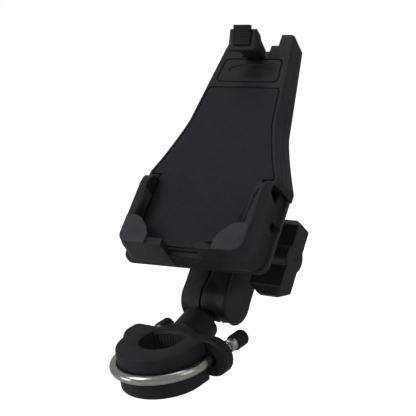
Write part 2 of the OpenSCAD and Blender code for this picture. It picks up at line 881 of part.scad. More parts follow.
// One level of the tray's outer shape
module tray_level(n, half_width, low) {
    for (side = [-1, 1])
        translate([side * (half_width - foot_round), low + foot_round, n])
            cylinder(r = foot_round, h = 0.01, $fn = hull_fn);
    translate([-half_width, foot_h - 0.1, n]) cube([2 * half_width, 0.1, 0.01]);
}

// The walls' block on the wider flange behind it
module tray_blank() {
    linear_extrude(flange_t) {
        translate([-foot_w, foot_round]) square([2 * foot_w, foot_h - foot_round]);
        translate([foot_round - foot_w, 0]) square([2 * (foot_w - foot_round), foot_h]);
        for (side = [-1, 1]) translate([side * (foot_w - foot_round), foot_round]) circle(foot_round);
    }
    hull() {
        tray_level(flange_t / 2, wall_w, 0);
        tray_level(lip_n * wall_bulge_share, wall_w, -lip_drop * wall_bulge_share);
        tray_level(lip_n - 0.01, lip_w, -lip_drop);
    }
}

// A corner lip seen from the front, on the right
module lip_outline() {
    inner = gap_w + 9.5;
    polygon([[inner + 0.5, -lip_drop - over], [inner, 3.3], [inner + 2.2, 8.2], [bay_w - 5.6, lip_high - 1.5],
             [bay_w - 2.5, lip_high], [lip_w + over, lip_high], [lip_w + over, -lip_drop - over]]);
}

module tray() {
    color(black) on_cradle() difference() {
        tray_blank();
        // The bay between the walls, under the lips and open to the front elsewhere
        translate([-bay_w, bay_low, floor_n]) cube([2 * bay_w, foot_h, lip_n - lip_t - floor_n]);
        difference() {
            translate([-bay_w, bay_low, floor_n]) cube([2 * bay_w, foot_h, lip_n]);
            both() linear_extrude(2 * lip_n) lip_outline();
        }
        // Walls lower than the lips, rounded down to the frame at their upper ends
        difference() {
            translate([-foot_w, -foot_h / 2, wall_top_n]) cube([2 * foot_w, 2 * foot_h, lip_n]);
            both() linear_extrude(2 * lip_n) lip_outline();
        }
        drop = wall_top_n - front_n;
        translate([0, 0, wall_top_n - drop]) along_x(-foot_w, foot_w) difference() {
            translate([side_h - 1, 0]) square([foot_h, lip_n]);
            translate([side_h, 0]) circle(min(drop, foot_h - side_h));
        }
        // Charging gap
        translate([-gap_w, -foot_h / 2, floor_n]) cube([2 * gap_w, foot_h, lip_n]);
        both() {
            translate([bay_w - over, liner_low, liner_n])
                cube([liner_t + over, liner_high - liner_low, wall_top_n - liner_n + over]);
            translate([0, screw_v, screw_n]) rotate([0, 90, 0])
                cylinder(r = side_shank_r + run_clear, h = foot_w);
            translate([side_head_u - side_head_t - free_clear, screw_v, screw_n]) rotate([0, 90, 0])
                cylinder(r = side_head_r + free_clear, h = foot_w);
        }
    }
}

module side_liners() {
    color(rubber) on_cradle() both()
        translate([bay_w - liner_bed, liner_low + run_clear, liner_n + run_clear])
            cube([liner_t + liner_bed - run_clear, liner_high - liner_low - 2 * run_clear,
                  wall_top_n - liner_n - 2 * run_clear]);
}

module side_screws() {
    color(steel) on_cradle() both() translate([side_head_u, screw_v, screw_n]) rotate([0, -90, 0]) {
        cylinder(r = side_shank_r, h = side_shank_len);
        cylinder(r = side_head_r, h = side_head_t);
    }
}

// ---------- jaw ----------

module jaw_slider() {
    color(black) on_cradle() difference() {
        union() {
            translate([-slider_w, slider_low, slider_low_n])
                cube([2 * slider_w, slider_high - slider_low, slider_high_n - slider_low_n]);
            translate([-stem_w, stem_low, slider_low_n])
                cube([2 * stem_w, stem_t, stem_n - slider_low_n]);
        }
        for (side = [-1, 1])
            translate([side * jaw_spring_u, slider_low + spring_peg_v, slider_low_n - over])
                cylinder(r = spring_peg_r, h = channel_n);
    }
}

// Z stands out of the jaw's slanted face, and Y runs up it from its lower edge
module on_jaw_face() {
    translate([0, jaw_nose + jaw_lip, jaw_top - jaw_face_rise])
        rotate([jaw_face_angle, 0, 0]) children();
}

// The jaw's head seen from the side, as heights up the cradle and depths out of it
module jaw_side() {
    face = (jaw_face_len - jaw_pad_over) * [cos(jaw_face_angle), sin(jaw_face_angle)];
    top = [jaw_nose + jaw_lip, jaw_top - jaw_face_rise] + face;
    polygon([[jaw_nose, jaw_nose_n], [jaw_nose + jaw_lip, jaw_top - jaw_face_rise], top,
             [jaw_back, top[1] - seam], [jaw_back + wall, jaw_foot_n], [stem_low - wall, jaw_foot_n]]);
}

module jaw_head() {
    color(black) on_cradle() difference() {
        along_x(-jaw_w / 2, jaw_w / 2) jaw_side();
        translate([-stem_w - run_clear, stem_low - run_clear, 0])
            cube([2 * (stem_w + run_clear), stem_t + 2 * run_clear, stem_n + run_clear]);
        on_jaw_face() translate([-jaw_pad_w / 2, jaw_pad_start, -jaw_pad_t / 2])
            cube([jaw_pad_w, jaw_face_len, jaw_pad_t]);
    }
}

module jaw_pad() {
    len = jaw_face_len - jaw_pad_start;
    step = len / jaw_ribs;
    color(rubber) on_cradle() on_jaw_face() translate([0, jaw_pad_start + run_clear, 0])
        difference() {
            translate([run_clear - jaw_pad_w / 2, 0, run_clear - jaw_pad_t / 2])
                cube([jaw_pad_w - 2 * run_clear, len, jaw_pad_t + jaw_pad_stand]);
            for (i = [1 : jaw_ribs - 1])
                translate([-jaw_pad_w, i * step, jaw_pad_t / 2 + jaw_pad_stand]) rotate([0, 90, 0])
                    cylinder(r = step / 4, h = 2 * jaw_pad_w);
        }
}

module spring_pins() {
    color(steel) on_cradle() for (side = [-1, 1])
        translate([side * jaw_spring_u, pin_v, wall]) cylinder(r = pin_r, h = slider_high_n - wall);
}

module jaw_springs() {
    color(steel) on_cradle() for (side = [-1, 1])
        translate([side * jaw_spring_u, pin_v + 2 * pin_r, jaw_spring_n]) rotate([-90, 0, 0])
            coil(jaw_spring_r, jaw_spring_wire, jaw_spring_len, jaw_spring_turns);
}

base_body();
saddle_pad();
u_bolt();
bar_liner();
nut_sleeve_left();
nut_sleeve_right();
nut_cap_left();
nut_cap_right();
lower_ball();
arm_half_left();
arm_half_right();
arm_screw();
arm_spring();
arm_washer();
wing_knob();
knob_insert();
upper_ball();
ball_plate();
plate_screws();
back_shell();
front_frame();
main_pad();
top_panel();
tray();
side_liners();
side_screws();
frame_screws();
jaw_slider();
jaw_head();
jaw_pad();
jaw_springs();
spring_pins();
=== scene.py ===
import json
import math

import bmesh
import bpy
from mathutils import Matrix, Vector


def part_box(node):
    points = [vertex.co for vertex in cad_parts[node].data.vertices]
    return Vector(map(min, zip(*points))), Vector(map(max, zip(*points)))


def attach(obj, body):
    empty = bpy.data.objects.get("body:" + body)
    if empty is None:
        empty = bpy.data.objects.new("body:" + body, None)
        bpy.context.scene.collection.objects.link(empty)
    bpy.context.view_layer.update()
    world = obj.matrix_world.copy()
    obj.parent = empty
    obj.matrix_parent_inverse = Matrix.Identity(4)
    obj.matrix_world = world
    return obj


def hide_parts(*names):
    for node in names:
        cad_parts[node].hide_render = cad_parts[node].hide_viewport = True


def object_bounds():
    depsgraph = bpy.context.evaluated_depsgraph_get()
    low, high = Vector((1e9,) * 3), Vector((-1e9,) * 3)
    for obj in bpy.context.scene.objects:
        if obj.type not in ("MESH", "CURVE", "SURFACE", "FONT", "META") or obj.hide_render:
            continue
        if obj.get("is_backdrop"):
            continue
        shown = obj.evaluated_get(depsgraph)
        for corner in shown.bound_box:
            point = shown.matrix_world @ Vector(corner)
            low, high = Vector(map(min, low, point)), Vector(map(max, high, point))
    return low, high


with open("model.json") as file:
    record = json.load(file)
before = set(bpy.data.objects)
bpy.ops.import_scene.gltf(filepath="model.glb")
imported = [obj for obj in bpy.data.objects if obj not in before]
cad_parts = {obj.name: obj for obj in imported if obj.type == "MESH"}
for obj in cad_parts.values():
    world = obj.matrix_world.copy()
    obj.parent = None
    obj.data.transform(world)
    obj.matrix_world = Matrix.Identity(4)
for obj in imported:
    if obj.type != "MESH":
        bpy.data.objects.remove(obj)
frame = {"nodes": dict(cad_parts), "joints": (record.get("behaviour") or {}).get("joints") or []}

# %% [markdown]
# # A phone mount for a handlebar
# The mount has three groups: a U-bolt clamp, a two-ball arm closed by a wing knob, and a cradle with
# a tray below and a sprung jaw above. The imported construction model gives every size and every
# joint. Each group is built on it here with the softer edges and the finishes of moulded parts.

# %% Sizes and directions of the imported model
MM = 0.001
packed_low, packed_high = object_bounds()
joints = {joint["name"]: joint for joint in frame["joints"]}


def joint_point(name):
    return Vector(joints[name]["pos_m"])


def joint_axis(name):
    return Vector(joints[name]["axis"]).normalized()


def frame_at(origin, x, y, z):
    """A matrix that takes millimetres along x, y and z at the origin to metres in the row frame."""
    return Matrix.Translation(origin) @ Matrix((x, y, z)).transposed().to_4x4() @ Matrix.Scale(MM, 4)


low_ball, high_ball = joint_point("arm_tilt"), joint_point("cradle_tilt")
cradle_out, cradle_up = joint_axis("cradle_turn"), joint_axis("jaw_slide")
BALL_V = 69
BALL_STAND = 35.2
cradle_origin = high_ball + (BALL_STAND * cradle_out - BALL_V * cradle_up) * MM
CRADLE = frame_at(cradle_origin, cradle_up.cross(cradle_out), cradle_up, cradle_out)
ACROSS = Vector((1, 0, 0))
arm_along = (high_ball - low_ball).normalized()
ARM = frame_at((low_ball + high_ball) / 2, ACROSS, arm_along.cross(ACROSS), arm_along)
BAR = frame_at(Vector(), ACROSS, Vector((0, 1, 0)), Vector((0, 0, 1)))
print("arm length", round((high_ball - low_ball).length / MM, 1), "mm")

# %% [markdown]
# ## Colour and one way to add a shader node
# Colours are written as they look on a screen, and one function turns them into the linear values
# that light needs. One function adds any shader node with its settings and links.


# %% Colour and shader helpers
def linear(hex_colour):
    values = [int(hex_colour[i:i + 2], 16) / 255 for i in (1, 3, 5)]
    return [v / 12.92 if v <= 0.04045 else ((v + 0.055) / 1.055) ** 2.4 for v in values] + [1]


def add_node(tree, kind, inputs=(), stops=(), **settings):
    """Adds a node. inputs maps a socket's name or number to a value or to another node's output, and
    stops gives a colour ramp its (position, value or colour) pairs."""
    node = tree.nodes.new(kind)
    for key, value in settings.items():
        setattr(node, key, value)
    for key, value in dict(inputs).items():
        if isinstance(value, bpy.types.NodeSocket):
            tree.links.new(value, node.inputs[key])
        else:
            node.inputs[key].default_value = value
    if stops:
        elements = node.color_ramp.elements
        while len(elements) < len(stops):
            elements.new(0.5)
        for element, (place, value) in zip(elements, stops):
            element.position = place
            element.color = value if isinstance(value, list) else (value, value, value, 1)
    return node


# %% [markdown]
# ## Moulded plastic and rubber
# Nearly every piece is black. What tells them apart is the surface: spark-eroded mould texture on
# the housings, a finer satin on the arm, a waxy face on the rubber liner and a dull one on the pad.
# Handled plastic also has faint scuffs, and on some pieces the edges are painted lighter than the hollows, a
# painted highlight together with wear.


# %% Finish for plastic and rubber
STAIN_MM, SCUFF_MM, SHINE, SHEEN_ROUGH = 9, 2.5, 0.35, 0.5


def moulded(name, colour, rough, grain_mm, grain_height, cloud=0.22, edge_wear_and_highlight=None, sheen=0.0):
    """Black moulded material: grain_mm and grain_height are the size and depth of the mould's texture."""
    material = bpy.data.materials.new(name)
    material.use_nodes = True
    tree = material.node_tree
    shader = tree.nodes["Principled BSDF"]
    place = add_node(tree, "ShaderNodeTexCoord").outputs["Object"]
    base = linear(colour)
    cloudy = add_node(tree, "ShaderNodeTexNoise",
                      {"Vector": place, "Scale": 1 / (STAIN_MM * MM), "Detail": 5, "Roughness": 0.6})
    tint = add_node(tree, "ShaderNodeValToRGB", {"Fac": cloudy.outputs["Fac"]},
                    [(0.3, [c * (1 - cloud) for c in base[:3]] + [1]),
                     (0.5, base), (0.72, [c * (1 + cloud) for c in base[:3]] + [1])])
    grain = add_node(tree, "ShaderNodeTexNoise",
                     {"Vector": place, "Scale": 1 / (grain_mm * MM), "Detail": 3, "Roughness": 0.65})
    fleck = add_node(tree, "ShaderNodeValToRGB", {"Fac": grain.outputs["Fac"]}, [(0.35, 0.86), (0.65, 1.14)])
    speckled = add_node(tree, "ShaderNodeMix",
                        {"Factor": 1, "A": tint.outputs["Color"], "B": fleck.outputs["Color"]},
                        data_type="RGBA", blend_type="MULTIPLY")
    speckled = speckled.outputs["Result"]
    # Convex edges, found by their pointiness and broken up by the stains, are mixed towards a lighter edge
    # colour: a painted highlight along the edges, together with wear.
    if edge_wear_and_highlight:
        corner = add_node(tree, "ShaderNodeNewGeometry").outputs["Pointiness"]
        edge = add_node(tree, "ShaderNodeValToRGB", {"Fac": corner}, [(0.515, 0.0), (0.58, 1.0)])
        broken = add_node(tree, "ShaderNodeMath", {0: edge.outputs["Color"], 1: cloudy.outputs["Fac"]},
                          operation="MULTIPLY")
        mix = add_node(tree, "ShaderNodeMix", {"Factor": broken.outputs["Value"], "A": speckled,
                                               "B": linear(edge_wear_and_highlight)}, data_type="RGBA")
        speckled = mix.outputs["Result"]
    tree.links.new(speckled, shader.inputs["Base Color"])
    scuffs = add_node(tree, "ShaderNodeTexNoise",
                      {"Vector": place, "Scale": 1 / (SCUFF_MM * MM), "Detail": 6, "Roughness": 0.7,
                       "Distortion": 1.2})
    handled = add_node(tree, "ShaderNodeValToRGB", {"Fac": scuffs.outputs["Fac"]},
                       [(0.3, rough - 0.07), (0.7, rough + 0.09)])
    tree.links.new(handled.outputs["Color"], shader.inputs["Roughness"])
    bump = add_node(tree, "ShaderNodeBump",
                    {"Height": grain.outputs["Fac"], "Strength": 0.5, "Distance": grain_height * MM})
    tree.links.new(bump.outputs["Normal"], shader.inputs["Normal"])
    shader.inputs["IOR"].default_value = 1.5
    shader.inputs["Specular IOR Level"].default_value = SHINE
    if sheen:
        shader.inputs["Sheen Weight"].default_value = sheen
        shader.inputs["Sheen Roughness"].default_value = SHEEN_ROUGH
    return material


# Glass-filled nylon, moulded with a fine spark texture and left as it comes from the tool
frame_plastic = moulded("satin_nylon", "#26262a", 0.52, 0.45, 0.05)
# The same nylon on the tray, a little greyer where fingers polish the lips
tray_plastic = moulded("tray_nylon", "#252529", 0.5, 0.5, 0.06)
# Coarse texture cut into the mould for grip on the lips
lip_plastic = moulded("grained_nylon", "#404046", 0.6, 0.35, 0.12)
# Filled nylon of the arm, smoother, with its high spots and edges painted lighter: painted highlight
# together with scuffs
arm_plastic = moulded("arm_nylon", "#242429", 0.46, 0.4, 0.04, edge_wear_and_highlight="#3a3a40")
# Harder, shinier nylon of the knob, its corners painted lighter: painted highlight together with wear
knob_plastic = moulded("knob_nylon", "#232328", 0.42, 0.4, 0.04, edge_wear_and_highlight="#4a4a50")
# Moulded base with a dull face and edges painted greyer: painted highlight together with dust and wear
base_plastic = moulded("base_nylon", "#1d1d21", 0.55, 0.5, 0.06, edge_wear_and_highlight="#3a3a3f")
# Turned and knurled plastic of the nuts' caps
cap_plastic = moulded("cap_plastic", "#19191c", 0.48, 0.3, 0.03)
# Silicone sheet of the pad: dull, with hardly any texture
pad_rubber = moulded("silicone_pad", "#22232a", 0.72, 0.25, 0.02, cloud=0.12, sheen=0.05)
# Moulded rubber of the liner and the other soft pieces, with a waxy bloom
liner_rubber = moulded("clamp_rubber", "#232226", 0.66, 0.3, 0.03, cloud=0.3, sheen=0.05)
# Rubber skin of the balls
ball_rubber = moulded("ball_rubber", "#19191b", 0.7, 0.3, 0.04)

# %% [markdown]
# ## Metal
# The U-bolt is drawn stainless rod, bright with faint cloudy marks from the die. The sleeves and screws
# are zinc plated and greyer. The knob has a brass insert and the springs are plain wire.


# %% Finish for metal
def metal(name, colour, rough, streak_mm, streak=0.25):
    material = bpy.data.materials.new(name)
    material.use_nodes = True
    tree = material.node_tree
    shader = tree.nodes["Principled BSDF"]
    shader.inputs["Metallic"].default_value = 1
    place = add_node(tree, "ShaderNodeTexCoord").outputs["Object"]
    base = linear(colour)
    drawn = add_node(tree, "ShaderNodeTexNoise",
                     {"Vector": place, "Scale": 1 / (streak_mm * MM), "Detail": 6, "Roughness": 0.7})
    tint = add_node(tree, "ShaderNodeValToRGB", {"Fac": drawn.outputs["Fac"]},
                    [(0.3, [c * (1 - streak) for c in base[:3]] + [1]), (0.7, base)])
    tree.links.new(tint.outputs["Color"], shader.inputs["Base Color"])
    polish = add_node(tree, "ShaderNodeValToRGB", {"Fac": drawn.outputs["Fac"]},
                      [(0.3, rough + 0.1), (0.7, rough)])
    tree.links.new(polish.outputs["Color"], shader.inputs["Roughness"])
    bump = add_node(tree, "ShaderNodeBump",
                    {"Height": drawn.outputs["Fac"], "Strength": 0.3, "Distance": 0.02 * MM})
    tree.links.new(bump.outputs["Normal"], shader.inputs["Normal"])
    return material


# Drawn 304 stainless wire, bright from the die
stainless = metal("drawn_stainless", "#c9c4be", 0.16, 1.5)
# Zinc plating over steel, slightly dull
zinc = metal("zinc_plate", "#bdb9b3", 0.3, 0.8)
# Oiled spring wire
spring_wire = metal("spring_wire", "#8d8d8d", 0.35, 0.5)
# Turned brass insert
brass = metal("turned_brass", "#c79a55", 0.3, 0.6)
print(len(bpy.data.materials), "materials, with the packed ones")

# %% [markdown]
# ## Tools for making pieces
# Pieces are lofted through rings of points, extruded from outlines, cut with each other and given
# real edge radii. Everything is written in millimetres in the frame of the group it belongs to.


# %% Mesh tools
# How far a cutter reaches out of the piece that it cuts
FAR = 30


def finish_mesh(obj, sharp=40):
    """Smooth shading, except over edges sharper than the angle."""
    obj.data.polygons.foreach_set("use_smooth", [True] * len(obj.data.polygons))
    obj.data.set_sharp_from_angle(angle=math.radians(sharp))
    return obj


def piece(name, points, faces, place, material):
    """An object from points in millimetres in the frame given by place."""
    mesh = bpy.data.meshes.new(name)
    mesh.from_pydata([place @ Vector(p) for p in points], [], faces)
    work = bmesh.new()
    work.from_mesh(mesh)
    bmesh.ops.recalc_face_normals(work, faces=work.faces)
    work.to_mesh(mesh)
    work.free()
    obj = bpy.data.objects.new(name, mesh)
    bpy.context.scene.collection.objects.link(obj)
    mesh.materials.append(material)
    return obj


def loft(name, rings, place, material, closed=False):
    """A skin through rings that have the same number of points, with flat ends unless closed."""
    count = len(rings[0])
    points = [p for ring in rings for p in ring]
    faces = []
    for i in range(len(rings) if closed else len(rings) - 1):
        a, b = i * count, (i + 1) % len(rings) * count
        faces += [(a + j, a + (j + 1) % count, b + (j + 1) % count, b + j) for j in range(count)]
    if not closed:
        faces += [tuple(range(count))[::-1], tuple(range(len(points) - count, len(points)))]
    return piece(name, points, faces, place, material)


def extruded(name, outline, low, high, place, material, plane="xy"):
    """An outline of (a, b) pairs given depth along the third axis of plane."""
    order = {"xy": lambda a, b, c: (a, b, c), "yz": lambda a, b, c: (c, a, b)}[plane]
    return loft(name, [[order(a, b, c) for a, b in outline] for c in (low, high)], place, material)


def block(low, high, place):
    """A plain box for cutting."""
    outline = [(low[0], low[1]), (high[0], low[1]), (high[0], high[1]), (low[0], high[1])]
    return extruded("cutter", outline, low[2], high[2], place, None)


def solid(name, low, high, place, material):
    """A box to start a piece from."""
    obj = block(low, high, place)
    obj.name = name
    obj.data.materials.clear()
    obj.data.materials.append(material)
    return obj


def rod(radius, low, high, axis, centre, place, sides=48, top=None):
    """A plain cylinder or cone along x, y or z for cutting or joining."""
    def ring(r, c):
        flat = [(r * math.cos(2 * math.pi * i / sides), r * math.sin(2 * math.pi * i / sides))
                for i in range(sides)]
        spots = {"x": [(c, a, b) for a, b in flat], "y": [(a, c, b) for a, b in flat],
                 "z": [(a, b, c) for a, b in flat]}[axis]
        return [[p[k] + centre[k] for k in range(3)] for p in spots]
    return loft("cutter", [ring(radius, low), ring(radius if top is None else top, high)], place, None)


def bake(obj):
    """Turns the modifiers into plain mesh."""
    graph = bpy.context.evaluated_depsgraph_get()
    mesh = bpy.data.meshes.new_from_object(obj.evaluated_get(graph))
    old = obj.data
    obj.modifiers.clear()
    obj.data = mesh
    bpy.data.meshes.remove(old)
    return obj


def merged(obj, *others):
    """Lays solids into one mesh; re-skinning it afterwards makes them one."""
    work = bmesh.new()
    work.from_mesh(obj.data)
    for other in others:
        work.from_mesh(other.data)
        bpy.data.objects.remove(other)
    work.to_mesh(obj.data)
    work.free()
    return obj


def combine(obj, others, operation):
    """Joins, cuts or intersects the object with others in turn, and uses the others up."""
    for other in others:
        step = obj.modifiers.new("combine", "BOOLEAN")
        step.operation = operation
        step.object = other
        step.solver = "EXACT"
        bake(obj)
        bpy.data.objects.remove(other)
    return obj


def cut(obj, *others):
    return combine(obj, others, "DIFFERENCE")


def join(obj, *others):
    return combine(obj, others, "UNION")


FLAT_ANGLE, EDGE_SEGMENTS, RELAX = 0.03, 3, 0.5


def rounded(obj, radius, angle=35):
    """Gives every edge sharper than the angle a radius in millimetres."""
    flat = obj.modifiers.new("flat", "DECIMATE")
    flat.decimate_type = "DISSOLVE"
    flat.angle_limit = math.radians(FLAT_ANGLE)
    edge = obj.modifiers.new("edge", "BEVEL")
    edge.width = radius * MM
    edge.segments = EDGE_SEGMENTS
    edge.limit_method = "ANGLE"
    edge.angle_limit = math.radians(angle)
    edge.use_clamp_overlap = True
    edge.harden_normals = False
    return obj


def cad_copy(node, name, material):
    """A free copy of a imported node's shape, for softening."""
    obj = bpy.data.objects.new(name, frame["nodes"][node].data.copy())
    bpy.context.scene.collection.objects.link(obj)
    obj.data.materials.clear()
    obj.data.materials.append(material)
    work = bmesh.new()
    work.from_mesh(obj.data)
    bmesh.ops.remove_doubles(work, verts=work.verts, dist=1e-6)
    work.to_mesh(obj.data)
    work.free()
    return obj


def softened(obj, voxel, rounds):
    """Re-skins a solid finely and relaxes it, as a worn mould rounds its edges."""
    skin = obj.modifiers.new("skin", "REMESH")
    skin.mode = "VOXEL"
    skin.voxel_size = voxel * MM
    relax = obj.modifiers.new("relax", "SMOOTH")
    relax.factor = RELAX
    relax.iterations = rounds
    return bake(obj)


def place_on(obj, body, slot, *nodes):
    """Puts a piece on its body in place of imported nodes."""
    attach(obj, body)
    if nodes:
        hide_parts(*nodes)
    print(obj.name, "on", body, len(obj.data.vertices), "points")
    return obj


# %% [markdown]
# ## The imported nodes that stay
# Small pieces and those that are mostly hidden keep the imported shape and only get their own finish:
# zinc on bought screws and sleeves, brass where the knob's thread is moulded in, rubber on the balls and
# liners. The ball plate and the jaw's pad are moulded, so they also get a small edge radius.

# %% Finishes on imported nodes
node_finish = {
    "saddle_pad": liner_rubber, "nut_sleeve_left": zinc, "nut_sleeve_right": zinc,
    "lower_ball": ball_rubber, "arm_screw": zinc, "arm_spring": spring_wire, "arm_washer": zinc,
    "knob_insert": brass, "upper_ball": ball_rubber, "ball_plate": base_plastic, "plate_screws": zinc,
    "side_liners": liner_rubber, "side_screws": zinc, "frame_screws": zinc, "jaw_pad": liner_rubber,
    "jaw_springs": spring_wire, "spring_pins": zinc,
}
for name, finish in node_finish.items():
    node = frame["nodes"][name]
    node.data.materials.clear()
    node.data.materials.append(finish)
    weld = node.modifiers.new("weld", "WELD")
    weld.merge_threshold = 1e-6
    if name in ("ball_plate", "jaw_pad"):
        rounded(node, 0.4)
    finish_mesh(node)
print(len(node_finish), "packed nodes stay")

# %% [markdown]
# ## The clamp
# The liner is a moulded rubber block in the shape of a D. Its rim is rolled over by the mould, a bore
# takes the bar and a groove holds the U-bolt, so it is lofted up the bar and then cut.

# %% Liner
LEG_X, ROD_R, ARC_Y = 27, 3, -1.2
LINER_R, LINER_LOW, LINER_TOP, LINER_BACK = 25.2, -13.15, 11.2, 8
BAR_R, MOUTH_W, RIM_R, GROOVE_SLACK = 12.7, 12.3, 1.6, 0.35


def liner_ring(inset, z, sides=64):
    """The D of the liner at one height, drawn in by inset."""
    r = LINER_R - inset
    arc = [(r * math.cos(a), ARC_Y - r * math.sin(a), z)
           for a in (math.pi * i / sides for i in range(sides + 1))]
    return arc + [(-r, LINER_BACK, z), (r, LINER_BACK, z)]


def rolled(low, high, r, steps=6):
    """Pairs of height and inset for a wall whose two rims have the radius r."""
    turn = [math.pi / 2 * i / steps for i in range(steps + 1)]
    start = [(low + r * (1 - math.sin(a)), r * (1 - math.cos(a))) for a in reversed(turn)]
    end = [(high - r * (1 - math.sin(a)), r * (1 - math.cos(a))) for a in turn]
    return start + end


def tube(name, centres, radii, place, material, sides=24):
    """A round bar through centre points, with a radius for each or a function of place and angle."""
    rings = []
    for i, c in enumerate(centres):
        a, b = Vector(centres[max(i - 1, 0)]), Vector(centres[min(i + 1, len(centres) - 1)])
        along = (b - a).normalized()
        side = along.cross(Vector((0, 0, 1))).normalized()
        top = side.cross(along)
        ring = []
        for j in range(sides):
            turn = 2 * math.pi * j / sides
            r = radii(i, turn) if callable(radii) else radii[i]
            ring.append(Vector(c) + r * (math.cos(turn) * side + math.sin(turn) * top))
        rings.append(ring)
    return loft(name, rings, place, material)


def bolt_path(leg, step=0.25):
    """Centres of the U-bolt's rod, down one leg, round the arc and up the other leg."""
    count = int((leg - ARC_Y) / step)
    legs = [leg - (leg - ARC_Y) * i / count for i in range(count + 1)]
    arc = [math.pi * i / 72 for i in range(1, 72)]
    return ([(LEG_X, y, 0) for y in legs]
            + [(LEG_X * math.cos(a), ARC_Y - LEG_X * math.sin(a), 0) for a in arc]
            + [(-LEG_X, y, 0) for y in reversed(legs)])


liner = loft("bar_liner_rubber", [liner_ring(i, z) for z, i in rolled(LINER_LOW, LINER_TOP, RIM_R)],
             BAR, liner_rubber)
mouth = [(-BAR_R, 0), (BAR_R, 0), (MOUTH_W, LINER_BACK + 1), (-MOUTH_W, LINER_BACK + 1)]
groove = bolt_path(LINER_BACK + 4, 2)
cut(liner, rod(BAR_R, -FAR, FAR, "z", (0, 0, 0), BAR, 96),
    extruded("cutter", mouth, -FAR, FAR, BAR, None),
    tube("cutter", groove, [ROD_R + GROOVE_SLACK] * len(groove), BAR, None))
rounded(liner, 0.7)
bake(liner)
finish_mesh(liner)
place_on(liner, "clamp", "liner_rubber", "bar_liner")

# %% [markdown]
# The U-bolt is 6 mm drawn rod, bent hot round a former. A die cuts the thread on its legs, one turn to
# each millimetre, and leaves a small chamfer at each end.

# %% U-bolt
LEG_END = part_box("u_bolt")[1].y / MM
THREAD_FROM, THREAD_DEPTH, THREAD_FADE, END_CHAMFER, THREAD_SINK = 9, 0.5, 1.5, 0.7, 0.02
path = bolt_path(LEG_END)


def bolt_radius(i, turn):
    """The rod's radius at a path point: plain, then a thread that fades in, then the end's chamfer."""
    x, y, z = path[i]
    if y < THREAD_FROM:
        return ROD_R
    winding = 2 * math.pi * y - turn * (1 if x > 0 else -1)
    cut_in = THREAD_DEPTH * (0.5 + 0.5 * math.cos(winding)) * min(1, (y - THREAD_FROM) / THREAD_FADE)
    chamfer = max(0, y - (LEG_END - END_CHAMFER))
    return ROD_R - THREAD_SINK - cut_in - chamfer


bolt = finish_mesh(tube("u_bolt_rod", path, bolt_radius, BAR, stainless, 32), 60)
place_on(bolt, "clamp", "stainless", "u_bolt")

# %% [markdown]
# The base is one moulding: two round bosses, the slab between them and the neck that carries the
# ball. A cone laid round the neck makes it swell towards the slab. The mould leaves soft corners
# everywhere, which re-skinning and relaxing the solid gives.

# %% Base
NECK_TILT = math.radians(23.6)
SWELL_ROOT, SWELL_TOP, SWELL_ROOT_R, SWELL_TOP_R = 32, 18, 12.8, 11.2
neck_out = Vector((0, math.cos(NECK_TILT), math.sin(NECK_TILT)))
NECK = frame_at(low_ball, ACROSS, neck_out.cross(ACROSS), neck_out)
swell = rod(SWELL_ROOT_R, -SWELL_ROOT, -SWELL_TOP, "z", (0, 0, 0), NECK, 72, SWELL_TOP_R)
base = merged(cad_copy("base_body", "clamp_base", base_plastic), swell)
softened(base, 0.32, 4)
finish_mesh(base, 60)
place_on(base, "base", "moulded_black", "base_body")

# %% [markdown]
# Each nut ends in a cap of hard black plastic with twenty grip ribs. A cap is a turned shape whose
# radius dips between the ribs, bored for the steel sleeve and for the rod's end.

# %% Grip caps
CAP_RIBS, RIB_DEPTH, CAP_ROUND, CAP_COLLAR, CAP_CHAMFER, CAP_END_WALL = 20, 0.38, 1.6, 1.2, 0.3, 1.1
SLEEVE_R, SLEEVE_IN, SLEEVE_SLACK, ROD_SLACK = 3.9, 5, 0.1, 0.35


def grip_cap(name, side):
    low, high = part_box("nut_cap_" + name)
    cap_r = (high.x - low.x) / 2 / MM
    start, end = low.y / MM, high.y / MM
    profile = [(start, CAP_CHAMFER), (start + CAP_CHAMFER, 0), (start + CAP_COLLAR - 0.2, 0),
               (start + CAP_COLLAR + 0.2, 0), (end - CAP_ROUND - 0.4, 0)]
    profile += [(end - CAP_ROUND * (1 - math.sin(a)), CAP_ROUND * (1 - math.cos(a)))
                for a in (math.pi / 2 * i / 6 for i in range(7))]
    rings = []
    for y, inset in profile:
        depth = RIB_DEPTH if start + CAP_COLLAR < y else 0
        ring = []
        for j in range(8 * CAP_RIBS):
            a = 2 * math.pi * j / (8 * CAP_RIBS)
            r = cap_r - inset - depth * (0.5 - 0.5 * math.cos(CAP_RIBS * a)) ** 2
            ring.append((side * LEG_X + r * math.cos(a), y, r * math.sin(a)))
        rings.append(ring)
    cap = loft("grip_cap_" + name, rings, BAR, cap_plastic)
    leg = (side * LEG_X, 0, 0)
    cut(cap, rod(SLEEVE_R + SLEEVE_SLACK, start - 1, start + SLEEVE_IN + SLEEVE_SLACK, "y", leg, BAR, 64),
        rod(ROD_R + ROD_SLACK, start + 1, end - CAP_END_WALL, "y", leg, BAR))
    return finish_mesh(cap, 50)


for side, name in ((-1, "left"), (1, "right")):
    cap = grip_cap(name, side)
    place_on(cap, "cap_" + name, "cap_plastic", "nut_cap_" + name)

# %% [markdown]
# ## The arm and its knob
# The two halves are pressed round the balls and mirror each other, but for the recess of the screw's
# head in one. Each has a flat cheek outside, a web behind it and a domed lobe over each ball, all flowing
# into each other. The knob is a wing nut in black nylon.

